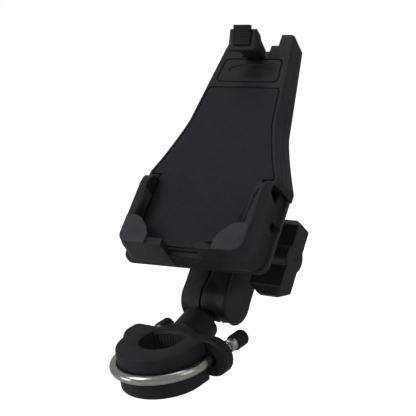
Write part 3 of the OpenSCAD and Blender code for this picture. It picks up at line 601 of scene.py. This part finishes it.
# %% Arm halves and knob
ARM_LEN, HALF_X, SPLIT_X, CHEEK_T, WEB_GAP = 62, 16.5, 0.5, 4.2, 1
CHEEK_R, LOBE_R, SOCKET_R, WAIST_R, WEB_R = 13.7, 15.9, 12.8, 12.8, 13.6
FILL_X, FILL_INNER_R, FILL_OUTER_R = 5.5, 14.7, 13.2
LOWER_MOUTH, UPPER_MOUTH = math.radians(49), math.radians(68)
SLOT_LEN, SLOT_HALF, SCREW_BORE_R, SPRING_BORE_R, HEAD_BORE_R, HEAD_DEPTH = 34.6, 8, 3.05, 5.5, 5.05, 4


def ball(radius, centre, place, rows=40, columns=64):
    rings = []
    for i in range(1, rows):
        a = math.pi * i / rows
        rings.append([(centre[0] + radius * math.sin(a) * math.cos(2 * math.pi * j / columns),
                       centre[1] + radius * math.sin(a) * math.sin(2 * math.pi * j / columns),
                       centre[2] - radius * math.cos(a)) for j in range(columns)])
    return loft("cutter", rings, place, None)


def arm_solid(name, side):
    """The outside of one half before its sockets: web, cheek, and a dome and a fillet at each ball."""
    outer = sorted((side * (HALF_X - CHEEK_T), side * HALF_X))
    inner = sorted((0, side * (HALF_X - WEB_GAP)))
    half_len = ARM_LEN / 2
    shell = solid(name, (inner[0], -WEB_R, -half_len), (inner[1], WEB_R, half_len), ARM, arm_plastic)
    solids = [block((outer[0], -WAIST_R, -half_len), (outer[1], WAIST_R, half_len), ARM)]
    fill = (FILL_INNER_R, FILL_OUTER_R) if side > 0 else (FILL_OUTER_R, FILL_INNER_R)
    low, high = sorted((side * FILL_X, side * (HALF_X - CHEEK_T + 0.3)))
    for end in (-1, 1):
        middle = (0, 0, end * half_len)
        solids += [ball(LOBE_R, middle, ARM), rod(CHEEK_R, outer[0], outer[1], "x", middle, ARM, 72),
                   rod(fill[0], low, high, "x", middle, ARM, 72, fill[1])]
    return softened(merged(shell, *solids), 0.5, 60)


def arm_shell(name, side):
    """One half, moulded in one piece, with its sockets, mouths, slot and screw holes."""
    shell = arm_solid(name, side)
    low, high = sorted((side * SPLIT_X, -side * FAR))
    cut(shell, block((low, -40, -80), (high, 40, 80), ARM))
    for end, mouth_angle in ((-1, LOWER_MOUTH), (1, UPPER_MOUTH)):
        middle = (0, 0, end * ARM_LEN / 2)
        low, high = sorted((0.01 * end, FAR * end))
        wide = FAR * math.tan(mouth_angle)
        radii = (0.01, wide) if end > 0 else (wide, 0.01)
        cut(shell, ball(SOCKET_R, middle, ARM),
            rod(radii[0], low, high, "z", middle, ARM, 72, radii[1]))
    slot = [(a, b + ARM_LEN / 2) for a, b in ((0, 0), (-SLOT_LEN, -20), (-40, 40), (0, 40))]
    cut(shell, extruded("cutter", slot, -SLOT_HALF, SLOT_HALF, ARM, None, "yz"),
        rod(SCREW_BORE_R, -FAR, FAR, "x", (0, 0, 0), ARM), rod(SPRING_BORE_R, -5, 5, "x", (0, 0, 0), ARM))
    if side < 0:
        cut(shell, rod(HEAD_BORE_R, -FAR, HEAD_DEPTH - HALF_X, "x", (0, 0, 0), ARM))
    return softened(shell, 0.36, 6)


for side, way in (("left", -1), ("right", 1)):
    half = arm_shell("arm_shell_" + side, way)
    finish_mesh(half, 60)
    place_on(half, "arm" if side == "left" else "arm_jaw", "moulded_black", "arm_half_" + side)
wing = softened(cad_copy("wing_knob", "wing_grip", knob_plastic), 0.34, 8)
finish_mesh(wing, 60)
place_on(wing, "knob", "knob_black", "wing_knob")

# %% [markdown]
# ## The cradle's front
# The front moulding narrows from flared shoulders to a straight neck with two ears. Its sides lean in
# and roll over into a narrow bright rim round the rubber pad. It is lofted from foot to ears and then
# cut for the pad, the panel and the jaw's slider.

# %% Outline of the cradle
FOOT_H, BODY_H, EAR_TOP, FRONT_N, SPLIT_N = 48.6, 153, 162, 17, 8.2
SHOULDER_V, FLARE_END, FLARE_W = 54, 94, 8
EAR_HALF, TAPER, LEAN_TOP, LEAN_MORE = 21.7, 0.145, 1.1, 3.7
ROLL_N, ROLL_U, SEAM_STEP, DENT_N, DENT_DEPTH, DENT_SPREAD = 14.2, 1.5, 0.35, 12.2, 0.55, 0.55


def flare(v):
    """How far the sides stand out towards the shoulders."""
    if v < SHOULDER_V:
        return FLARE_W
    return FLARE_W * (max(0, FLARE_END - v) / (FLARE_END - SHOULDER_V)) ** 1.3


def half_width(v, n):
    """Half the cradle's width at a height v up the cradle and a distance n in front of its back."""
    share = max(0, min(1, (150 - v) / 85))
    lean = n / FRONT_N * (LEAN_TOP + LEAN_MORE * share)
    return EAR_HALF + TAPER * (EAR_TOP - max(v, SHOULDER_V)) + flare(v) - lean


def front_section(v):
    """One slice of the front moulding, from the seam round the rolled rim to the middle."""
    wall_n = SPLIT_N + SEAM_STEP
    side = [(half_width(v, SPLIT_N) - SEAM_STEP, SPLIT_N), (half_width(v, wall_n), wall_n)]
    fade = max(0, min(1, (84 - v) / 14)) * max(0, min(1, (v - 49) / 3))
    for i in range(1, 15):
        n = wall_n + (ROLL_N - SPLIT_N - SEAM_STEP) * i / 14
        dent = DENT_DEPTH * fade * math.exp(-((n - DENT_N) / DENT_SPREAD) ** 2)
        side.append((half_width(v, n) - dent, n))
    for i in range(1, 9):
        a = math.pi / 2 * i / 8
        n = ROLL_N + (FRONT_N - ROLL_N) * math.sin(a)
        side.append((half_width(v, n) - ROLL_U * (1 - math.cos(a)), n))
    return [(u, v, n) for u, n in side] + [(-u, v, n) for u, n in reversed(side)]


levels = [FOOT_H + 0.2 + (EAR_TOP - FOOT_H - 0.2) * i / 76 for i in range(77)]
front = loft("front_moulding", [front_section(v) for v in levels], CRADLE, frame_plastic)
print("front moulding", len(front.data.polygons), "faces")

# %% [markdown]
# The front moulding has a shallow bed for the pad and one for the panel, a channel for the jaw's slider
# behind its face, and a shelf that carries the pad on down between the tray's walls. The pad's bed
# follows the hollow sides at an even distance, which leaves the narrow rim.

# %% Cuts in the front moulding
PAD_LOW, PAD_TOP, PAD_RIM, PAD_T, SHELF_W = 51.6, 119.5, 2.1, 1.2, 32.7
PANEL_LOW, PANEL_HIGH, PANEL_RIM = 123.5, 142.3, 4.3
CHANNEL_W, CHANNEL_N, STEM_W, STEM_LOW = 12.8, 12.4, 8.3, 143.1


def round_corner(corner, before, after, r, steps=6):
    """Points of an arc that rounds a corner between two neighbours in a plane."""
    c, a, b = Vector(corner), Vector(before), Vector(after)
    back, on = (a - c).normalized(), (b - c).normalized()
    half = back.angle(on) / 2
    reach = r / math.tan(half)
    centre = c + (back + on).normalized() * (r / math.sin(half))
    first, last = c + back * reach - centre, c + on * reach - centre
    points = []
    for i in range(steps + 1):
        t = i / steps
        spoke = first.lerp(last, t).normalized() * r
        points.append(tuple(centre + spoke))
    return points


def pad_outline(margin, corner=2.5):
    low, top = PAD_LOW + margin, PAD_TOP - margin
    count = 24
    side = [(half_width(v, FRONT_N) - PAD_RIM - margin, v)
            for v in (low + (top - low) * i / count for i in range(count + 1))]
    right = side[:-1] + round_corner(side[-1], side[-2], (0, top), corner)
    return right + [(-u, v) for u, v in reversed(right)]


def panel_outline(margin, corner=3.2):
    low, top = PANEL_LOW + margin, PANEL_HIGH - margin
    a = (half_width(low, FRONT_N) - PANEL_RIM - margin, low)
    b = (half_width(top, FRONT_N) - PANEL_RIM - margin, top)
    right = round_corner(a, (0, low), b, corner) + round_corner(b, a, (0, top), corner)
    return right + [(-u, v) for u, v in reversed(right)]


bed = FRONT_N - PAD_T
join(front, block((-SHELF_W, 2.2, SPLIT_N), (SHELF_W, FOOT_H + 2.4, bed), CRADLE))
cut(front,
    extruded("cutter", pad_outline(0), bed, FAR, CRADLE, None),
    extruded("cutter", panel_outline(0), bed, FAR, CRADLE, None),
    block((-SHELF_W - 1, 0, bed), (SHELF_W + 1, FOOT_H + 3.4, FAR), CRADLE),
    block((-CHANNEL_W, 53, 7), (CHANNEL_W, 200, CHANNEL_N), CRADLE),
    block((-STEM_W, STEM_LOW, 7), (STEM_W, 200, FAR), CRADLE),
    block((-CHANNEL_W, BODY_H, 7), (CHANNEL_W, 200, FAR), CRADLE))
rounded(front, 0.35)
bake(front)
finish_mesh(front)
place_on(front, "cradle", "frame_black", "front_frame")

# %% [markdown]
# The shell behind the front moulding follows the same hollow sides and rolls over at its back edge. It
# is hollow, with bosses for the ball plate's screws and for the screws that hold the front moulding.

# %% Back moulding
BACK_ROLL, BACK_WALL, SEAM, SEAM_CHAMFER, SIDE_STOP = 0.7, 2.4, 0.2, 0.35, 0.6
PLATE_X, PLATE_Y, PLATE_BOSS_R, PLATE_HOLE_R, PLATE_HOLE_N = 19, 15, 5, 2.05, 5.8
FRAME_IN, FRAME_BOSS_R, FRAME_HOLE_R, FRAME_HEAD_R, FRAME_HEAD_N = 9.4, 3.5, 1.55, 2.9, 2.5
SHELF_LOW, SHELF_N = 2.2, 3.2


def back_section(v):
    side = []
    for i in range(7):
        a = math.pi / 2 * i / 6
        side.append((half_width(v, 0) - BACK_ROLL * (1 - math.sin(a)), BACK_ROLL * (1 - math.cos(a))))
    for i in range(1, 5):
        n = BACK_ROLL + (SPLIT_N - SIDE_STOP - BACK_ROLL) * i / 4
        side.append((half_width(v, n), n))
    side.append((half_width(v, SPLIT_N) - SEAM_CHAMFER, SPLIT_N - SEAM))
    return [(u, v, n) for u, n in side] + [(-u, v, n) for u, n in reversed(side)]


def hollow_section(v):
    u = half_width(v, SPLIT_N) - BACK_WALL
    return [(u, v, BACK_WALL), (u, v, 9), (-u, v, 9), (-u, v, BACK_WALL)]


def rods_at(spots, radius, low, high):
    return [rod(radius, low, high, "z", spot, CRADLE) for spot in spots]


plate_spots = [(x, BALL_V + y, 0) for x in (-PLATE_X, PLATE_X) for y in (-PLATE_Y, PLATE_Y)]
frame_spots = [(side * (half_width(v, 0) - FRAME_IN), v, 0)
               for v in (FOOT_H + 8, BODY_H - 20) for side in (-1, 1)]
back = loft("back_moulding", [back_section(v) for v in levels], CRADLE, frame_plastic)
hollow_low = FOOT_H + SEAM + BACK_WALL
hollow_levels = [hollow_low + (BODY_H - BACK_WALL - hollow_low) * i / 60 for i in range(61)]
hollow = loft("cutter", [hollow_section(v) for v in hollow_levels], CRADLE, None)
cut(hollow, *rods_at(plate_spots, PLATE_BOSS_R, 0, 10), *rods_at(frame_spots, FRAME_BOSS_R, 0, 10))
join(back, block((-SHELF_W, SHELF_LOW, SHELF_N), (SHELF_W, FOOT_H + 1.4, SPLIT_N - 0.3), CRADLE))
cut(back, hollow, block((-CHANNEL_W, BODY_H, -1), (CHANNEL_W, 200, FAR), CRADLE),
    *rods_at(plate_spots, PLATE_HOLE_R, -1, PLATE_HOLE_N),
    *rods_at(frame_spots, FRAME_HEAD_R, -1, FRAME_HEAD_N), *rods_at(frame_spots, FRAME_HOLE_R, -2, 10))
finish_mesh(back)
place_on(back, "cradle", "frame_black", "back_shell")

# %% [markdown]
# The pad is die-cut silicone sheet laid in its bed, with a fine gap round it. The panel above it is a
# separate plate with round corners and a blank oval recess for a badge.

# %% Pad and panel
PAD_GAP, PAD_STAND, SHELF_GAP, PANEL_GAP = 0.85, 0.2, 1.1, 0.75
OVAL_U, OVAL_V, OVAL_MID, OVAL_DEPTH = 14.2, 4.8, 133, 0.6
pad_low, pad_high = bed + 0.05, FRONT_N + PAD_STAND
pad = extruded("silicone_pad", pad_outline(PAD_GAP, 2), pad_low, pad_high, CRADLE, pad_rubber)
join(pad, block((SHELF_GAP - SHELF_W, 3.5, pad_low), (SHELF_W - SHELF_GAP, PAD_LOW + 1, pad_high), CRADLE))
rounded(pad, 0.3)
bake(pad)
finish_mesh(pad)
place_on(pad, "cradle", "pad_rubber", "main_pad")
panel = extruded("name_panel", panel_outline(PANEL_GAP, 2.6), pad_low, FRONT_N, CRADLE, frame_plastic)
oval = [(OVAL_U * math.cos(a), OVAL_MID + OVAL_V * math.sin(a))
        for a in (2 * math.pi * i / 72 for i in range(72))]
cut(panel, extruded("cutter", oval, FRONT_N - OVAL_DEPTH, FRONT_N + 2, CRADLE, None))
rounded(panel, 0.3)
bake(panel)
finish_mesh(panel)
place_on(panel, "cradle", "frame_black", "top_panel")

# %% [markdown]
# ## The tray
# The tray is one stiff moulding: a thin flange behind, walls that rise from it in a hollow curve,
# and two corner lips that hook over the telephone with a gap between them for the charging plug.

# %% Tray walls
FOOT_W, FLANGE_T, FLANGE_ROUND, WALL_ROOT_W, WALL_W, COVE_N = 44.4, 3.6, 0.5, 42, 39.4, 15
LIP_W, LIP_DROP, LIP_T, LIP_SIDE = 37.2, 2.4, 2.4, 15.5
BAY_W, BAY_LOW, BAY_T, FLOOR_N, GAP_W, SIDE_H, TRAY_R = 33, 2, 8.4, 3, 10.5, 39.8, 6
LIP_N = FRONT_N + 0.2 + BAY_T + LIP_T
WALL_TOP_N = LIP_N - 1.4


def sunk(n):
    """How far the tray's front drops below the origin at a height n."""
    return -LIP_DROP * n / LIP_N


cove_top = FLANGE_T + COVE_N
wall_levels = [(0, FOOT_W - FLANGE_ROUND, 0.4), (FLANGE_ROUND, FOOT_W, 0),
               (FLANGE_T - FLANGE_ROUND, FOOT_W, 0), (FLANGE_T, FOOT_W - FLANGE_ROUND, 0),
               (FLANGE_T + 0.02, WALL_ROOT_W, -0.1)]
wall_levels += [(FLANGE_T + COVE_N * t, WALL_W + (WALL_ROOT_W - WALL_W) * (1 - t) ** 2.6,
                 sunk(FLANGE_T + COVE_N * t)) for t in (i / 8 for i in range(1, 9))]
wall_levels += [(n, WALL_W - 2 * i / 4, sunk(n))
                for i, n in ((i, cove_top + (LIP_N - cove_top - 0.8) * i / 4) for i in range(1, 5))]
wall_levels += [(LIP_N - 0.25, LIP_W - 0.25, 0.2 - LIP_DROP), (LIP_N - 0.01, LIP_W - 0.8, 0.8 - LIP_DROP)]


def tray_ring(n, w, low):
    right = round_corner((w, low), (0, low), (w, FOOT_H), TRAY_R, 10) + [(w, FOOT_H)]
    return [(u, v, n) for u, v in right] + [(-u, v, n) for u, v in reversed(right)]


def in_lips(low, high):
    """The two lips' prisms, right and left."""
    inner, outer = GAP_W + 9.5, LIP_W + 3
    outline = [(inner + 0.5, -LIP_DROP - 1), (inner, 3.3), (inner + 2.2, 8.2), (BAY_W - 5.6, 14),
               (BAY_W - 2.5, LIP_SIDE), (outer, LIP_SIDE), (outer, -LIP_DROP - 1)]
    return [extruded("cutter", outline, low, high, CRADLE, None),
            extruded("cutter", [(-u, v) for u, v in outline], low, high, CRADLE, None)]


tray = loft("tray_moulding", [tray_ring(*level) for level in wall_levels], CRADLE, tray_plastic)
bay = block((-BAY_W, BAY_LOW, FLOOR_N), (BAY_W, 60, LIP_N - LIP_T), CRADLE)
open_bay = cut(block((-BAY_W, BAY_LOW, FLOOR_N + 1), (BAY_W, 60, LIP_N + 5), CRADLE), *in_lips(0, 60))
over_walls = cut(block((-60, -20, WALL_TOP_N), (60, 80, LIP_N + 5), CRADLE), *in_lips(0, 60))
END_R = FOOT_H - SIDE_H
wall_end = [(SIDE_H + END_R * math.sin(a), FRONT_N + END_R * math.cos(a))
            for a in (math.pi / 2 * i / 12 for i in range(13))]
wall_end = [(SIDE_H, 60), *wall_end, (90, FRONT_N), (90, 60)]
cut(tray, block((-GAP_W, -20, FLOOR_N - 0.05), (GAP_W, 80, LIP_N + 6), CRADLE), bay, open_bay, over_walls,
    extruded("cutter", wall_end, -61, 61, CRADLE, None, "yz"))

# %% [markdown]
# A screw in a deep hole holds each side of the tray. A groove inside each wall takes a rubber strip, a
# notch makes room for each of the cradle's shoulders, and a low ribbed strip with a bead along its top
# closes the foot of the gap.

# %% Details of the tray
SCREW_V, SCREW_N, SCREW_HEAD_U, SCREW_WELL_R, SCREW_WELL_IN = 27.6, 5.5, 38, 2.9, 1.9
NOTCH_U = 35.6
STRIP_W, STRIP_RIBS, STRIP_N, STRIP_FRONT = GAP_W + 0.4, 14, 11.6, (0.05, -0.35)
notch = [(40.5, 9), (43.5, 18), (60, 18), (60, 9)]
well = SCREW_HEAD_U - SCREW_WELL_IN
cut(tray, rod(SCREW_WELL_R, well, 60, "x", (0, SCREW_V, SCREW_N), CRADLE),
    rod(SCREW_WELL_R, -60, -well, "x", (0, SCREW_V, SCREW_N), CRADLE))
for side in (-1, 1):
    low, high = sorted((side * (BAY_W - 1), side * (BAY_W + 1)))
    cut(tray, block((low, 17, FRONT_N + 1), (high, SIDE_H - 4, WALL_TOP_N + 2), CRADLE))
for side in (1, -1):
    low, high = sorted((side * NOTCH_U, side * 60))
    cut(tray, extruded("cutter", notch, low, high, CRADLE, None, "yz"))
strip = [(-STRIP_W, 2)] + [(-STRIP_W + STRIP_W * i / STRIP_RIBS, STRIP_FRONT[i % 2])
                           for i in range(2 * STRIP_RIBS + 1)] + [(STRIP_W, 2)]
bead = [(2, -0.2), (-0.9, -0.2), (-1.3, 1), (-0.9, 2.6), (2, 2.6)]
bead = [(v, STRIP_N + n) for v, n in bead]
join(tray, extruded("cutter", strip, FLOOR_N - 0.2, STRIP_N, CRADLE, None),
     extruded("cutter", bead, -STRIP_W - 0.1, STRIP_W + 0.1, CRADLE, None, "yz"))
rounded(tray, 0.4)
bake(tray)
tray.data.materials.append(lip_plastic)
to_cradle = CRADLE.inverted()
for face in tray.data.polygons:
    spot = to_cradle @ face.center
    if spot.z > LIP_N - 0.7 and spot.y < LIP_SIDE + 1.5:
        face.material_index = 1
finish_mesh(tray)
place_on(tray, "cradle", "tray_black", "tray")

# %% [markdown]
# ## The jaw
# The head is a thick slanted plate on a thin neck, with a ribbed rubber pad let into its face. The
# slider below it runs in the channel behind the front moulding, and its stem is moulded into the neck.

# %% Jaw head
FACE_LOW, FACE_HIGH, FACE_BACK = (133.4, 35.9), (142.7, 42.2), (144.2, 41)
RECESS_W, STEM_HALF, STEM_V, STEM_TOP, STEM_GAP = 5.45, 5.1, (143.5, 147), 26, 0.1
# Height above the cradle's back, half width, and the lower and upper side at each level of the head
HEAD_LEVELS = [(17.5, 6.0, 142.4, 148.6), (24, 6.4, 140.4, 147.5), (29.5, 7.2, 137.2, 146.1),
               (32.6, 8.1, 133.6, 145.2), (33.4, 8.5, 132.7, 145), (36, 8.6, 132.7, 144.8),
               (44, 8.2, 132.7, 144.2)]
head_rings = [[(w, low, n), (w, high, n), (-w, high, n), (-w, low, n)] for n, w, low, high in HEAD_LEVELS]
head = loft("jaw_plate", head_rings, CRADLE, frame_plastic)
off_face = [(120, 26.8), FACE_LOW, FACE_HIGH, FACE_BACK, (150, 37), (150, 60), (120, 60)]
recess = [(134.9, 35.9), (144.2, 42.8), (140, 60), (120, 60)]
cut(head, extruded("cutter", off_face, -20, 20, CRADLE, None, "yz"),
    extruded("cutter", recess, -RECESS_W, RECESS_W, CRADLE, None, "yz"),
    block((-STEM_HALF - STEM_GAP, STEM_V[0] - STEM_GAP, 16),
          (STEM_HALF + STEM_GAP, STEM_V[1] + STEM_GAP, STEM_TOP + STEM_GAP), CRADLE))
rounded(head, 0.55, 30)
bake(head)
finish_mesh(head)
place_on(head, "jaw", "frame_black", "jaw_head")

# %% [markdown]
# The slider is a flat plate with a stem for the head and a hole for each spring's end. Two springs below
# it pull it down, so that the jaw closes on the telephone by itself.

# %% Jaw slider
SLIDER_W, SLIDER_LOW, SLIDER_HIGH, SLIDER_N = 12.4, 96, 152.8, (8.3, 12.1)
PEG_U, PEG_V, PEG_R = 7, 2.5, 1
slider = solid("slide_plate", (-SLIDER_W, SLIDER_LOW, SLIDER_N[0]), (SLIDER_W, SLIDER_HIGH, SLIDER_N[1]),
               CRADLE, frame_plastic)
join(slider, block((-STEM_HALF, STEM_V[0], 9), (STEM_HALF, STEM_V[1], STEM_TOP), CRADLE))
cut(slider, *rods_at([(side * PEG_U, SLIDER_LOW + PEG_V, 0) for side in (-1, 1)], PEG_R, 8, 14))
rounded(slider, 0.3)
bake(slider)
finish_mesh(slider)
place_on(slider, "jaw", "frame_black", "jaw_slider")

# %% [markdown]
# ## Floor, light and camera
# The mount stands well above a pale floor in a plain studio. A wide lamp high on the left gives the
# shape, and weak ones on the right, above and low on the left fill the dark sides.

# %% Lamps
AIM = (0, 0.05, 0.06)
# Name, place and size in metres, power in watts
LAMPS = [("key_lamp", (-0.35, -0.55, 0.75), (0.5, 0.5), 2.4),
         ("side_lamp", (0.75, 0.05, 0.35), (0.35, 0.6), 0.5),
         ("low_lamp", (-0.55, -0.55, 0.02), (0.3, 0.3), 0.7),
         ("top_lamp", (0.05, 0.35, 0.85), (0.7, 0.4), 1.2)]
scene = bpy.context.scene
scene.view_settings.view_transform = "Standard"
for name, place, size, watts in LAMPS:
    light = bpy.data.lights.new(name, "AREA")
    light.shape = "RECTANGLE"
    light.size, light.size_y = size
    light.energy = watts
    lamp = bpy.data.objects.new(name, light)
    scene.collection.objects.link(lamp)
    lamp.location = place
    lamp.rotation_euler = (Vector(AIM) - Vector(place)).to_track_quat("-Z", "Y").to_euler()
print(len(LAMPS), "lamps")

# %% [markdown]
# The studio's wall is the world's colour. The camera and glass see it white, glossy surfaces see a share
# of that, so that metal shows a pale room and black plastic stays black, and everything else gets a
# faint even light from it. The floor is matt pale paint that also glows to the camera, which lifts it
# to white and keeps the shadow.

# %% Sky and floor
SKY_STRENGTH, MIRROR_SHARE = 0.14, 0.22
FLOOR_DROP, FLOOR_GLOW, FLOOR_REACH = 70, 0.88, 6


def seen_straight(tree):
    """The light path's outputs, and 1 for rays from the camera, also through glass."""
    ray = add_node(tree, "ShaderNodeLightPath").outputs
    straight = add_node(tree, "ShaderNodeMath", {0: ray["Is Camera Ray"], 1: ray["Is Transmission Ray"]},
                        operation="MAXIMUM")
    return ray, straight.outputs["Value"]


world = bpy.data.worlds.new("studio")
scene.world = world
world.use_nodes = True
sky = world.node_tree
ray, seen = seen_straight(sky)
mirrored = add_node(sky, "ShaderNodeMath", {0: ray["Is Glossy Ray"], 1: MIRROR_SHARE}, operation="MULTIPLY")
whitened = add_node(sky, "ShaderNodeMath", {0: seen, 1: mirrored.outputs["Value"]}, operation="MAXIMUM")
dim = sky.nodes["Background"]
dim.inputs["Color"].default_value = linear("#e9eef5")
dim.inputs["Strength"].default_value = SKY_STRENGTH
white = add_node(sky, "ShaderNodeBackground", {"Color": linear("#ffffff"), "Strength": 1})
both = add_node(sky, "ShaderNodeMixShader",
                {0: whitened.outputs["Value"], 1: dim.outputs["Background"], 2: white.outputs["Background"]})
sky.links.new(both.outputs["Shader"], sky.nodes["World Output"].inputs["Surface"])

floor_paint = bpy.data.materials.new("pale_floor")
floor_paint.use_nodes = True
tree = floor_paint.node_tree
matt = tree.nodes["Principled BSDF"]
matt.inputs["Base Color"].default_value = linear("#f4f4f4")
matt.inputs["Roughness"].default_value = 0.9
lifted = add_node(tree, "ShaderNodeMath", {0: seen_straight(tree)[1], 1: FLOOR_GLOW}, operation="MULTIPLY")
glow = add_node(tree, "ShaderNodeEmission",
                {"Color": linear("#ffffff"), "Strength": lifted.outputs["Value"]})
lit = add_node(tree, "ShaderNodeAddShader", {0: matt.outputs["BSDF"], 1: glow.outputs["Emission"]})
tree.links.new(lit.outputs["Shader"], tree.nodes["Material Output"].inputs["Surface"])
floor_z = packed_low.z - FLOOR_DROP * MM
corners = [(-1, -1), (1, -1), (1, 1), (-1, 1)]
floor = piece("floor", [(x * FLOOR_REACH, y * FLOOR_REACH, floor_z) for x, y in corners],
              [(0, 1, 2, 3)], Matrix.Identity(4), floor_paint)
floor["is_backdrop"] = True
print("floor at", round(floor_z / MM, 1), "mm")

# %% [markdown]
# The camera stands in front, on the right and a little above, with a long lens. Its direction to the
# right and its direction up are written down, and the third is made square to both.

# %% Camera
right = Vector((0.799, 0.587, -0.132)).normalized()
above = Vector((-0.071, 0.309, 0.948))
towards = right.cross(above).normalized()
above = towards.cross(right)
lens = bpy.data.cameras.new("camera")
lens.lens = 99.28
lens.clip_start = 0.01
camera = bpy.data.objects.new("camera", lens)
scene.collection.objects.link(camera)
camera.matrix_world = (Matrix.Translation((0.4016, -0.4441, 0.2643))
                       @ Matrix((right, above, towards)).transposed().to_4x4())
scene.camera = camera
print("lens", round(lens.lens), "mm")

# %% [markdown]
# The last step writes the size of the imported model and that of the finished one, so that the two can be
# compared: softened edges and added rims should change it by less than a few millimetres.

# %% Sizes of the finished model
bpy.context.view_layer.update()
low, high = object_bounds()
print("packed", [round(v / MM, 1) for v in packed_low], [round(v / MM, 1) for v in packed_high])
print("finished", [round(v / MM, 1) for v in low], [round(v / MM, 1) for v in high])
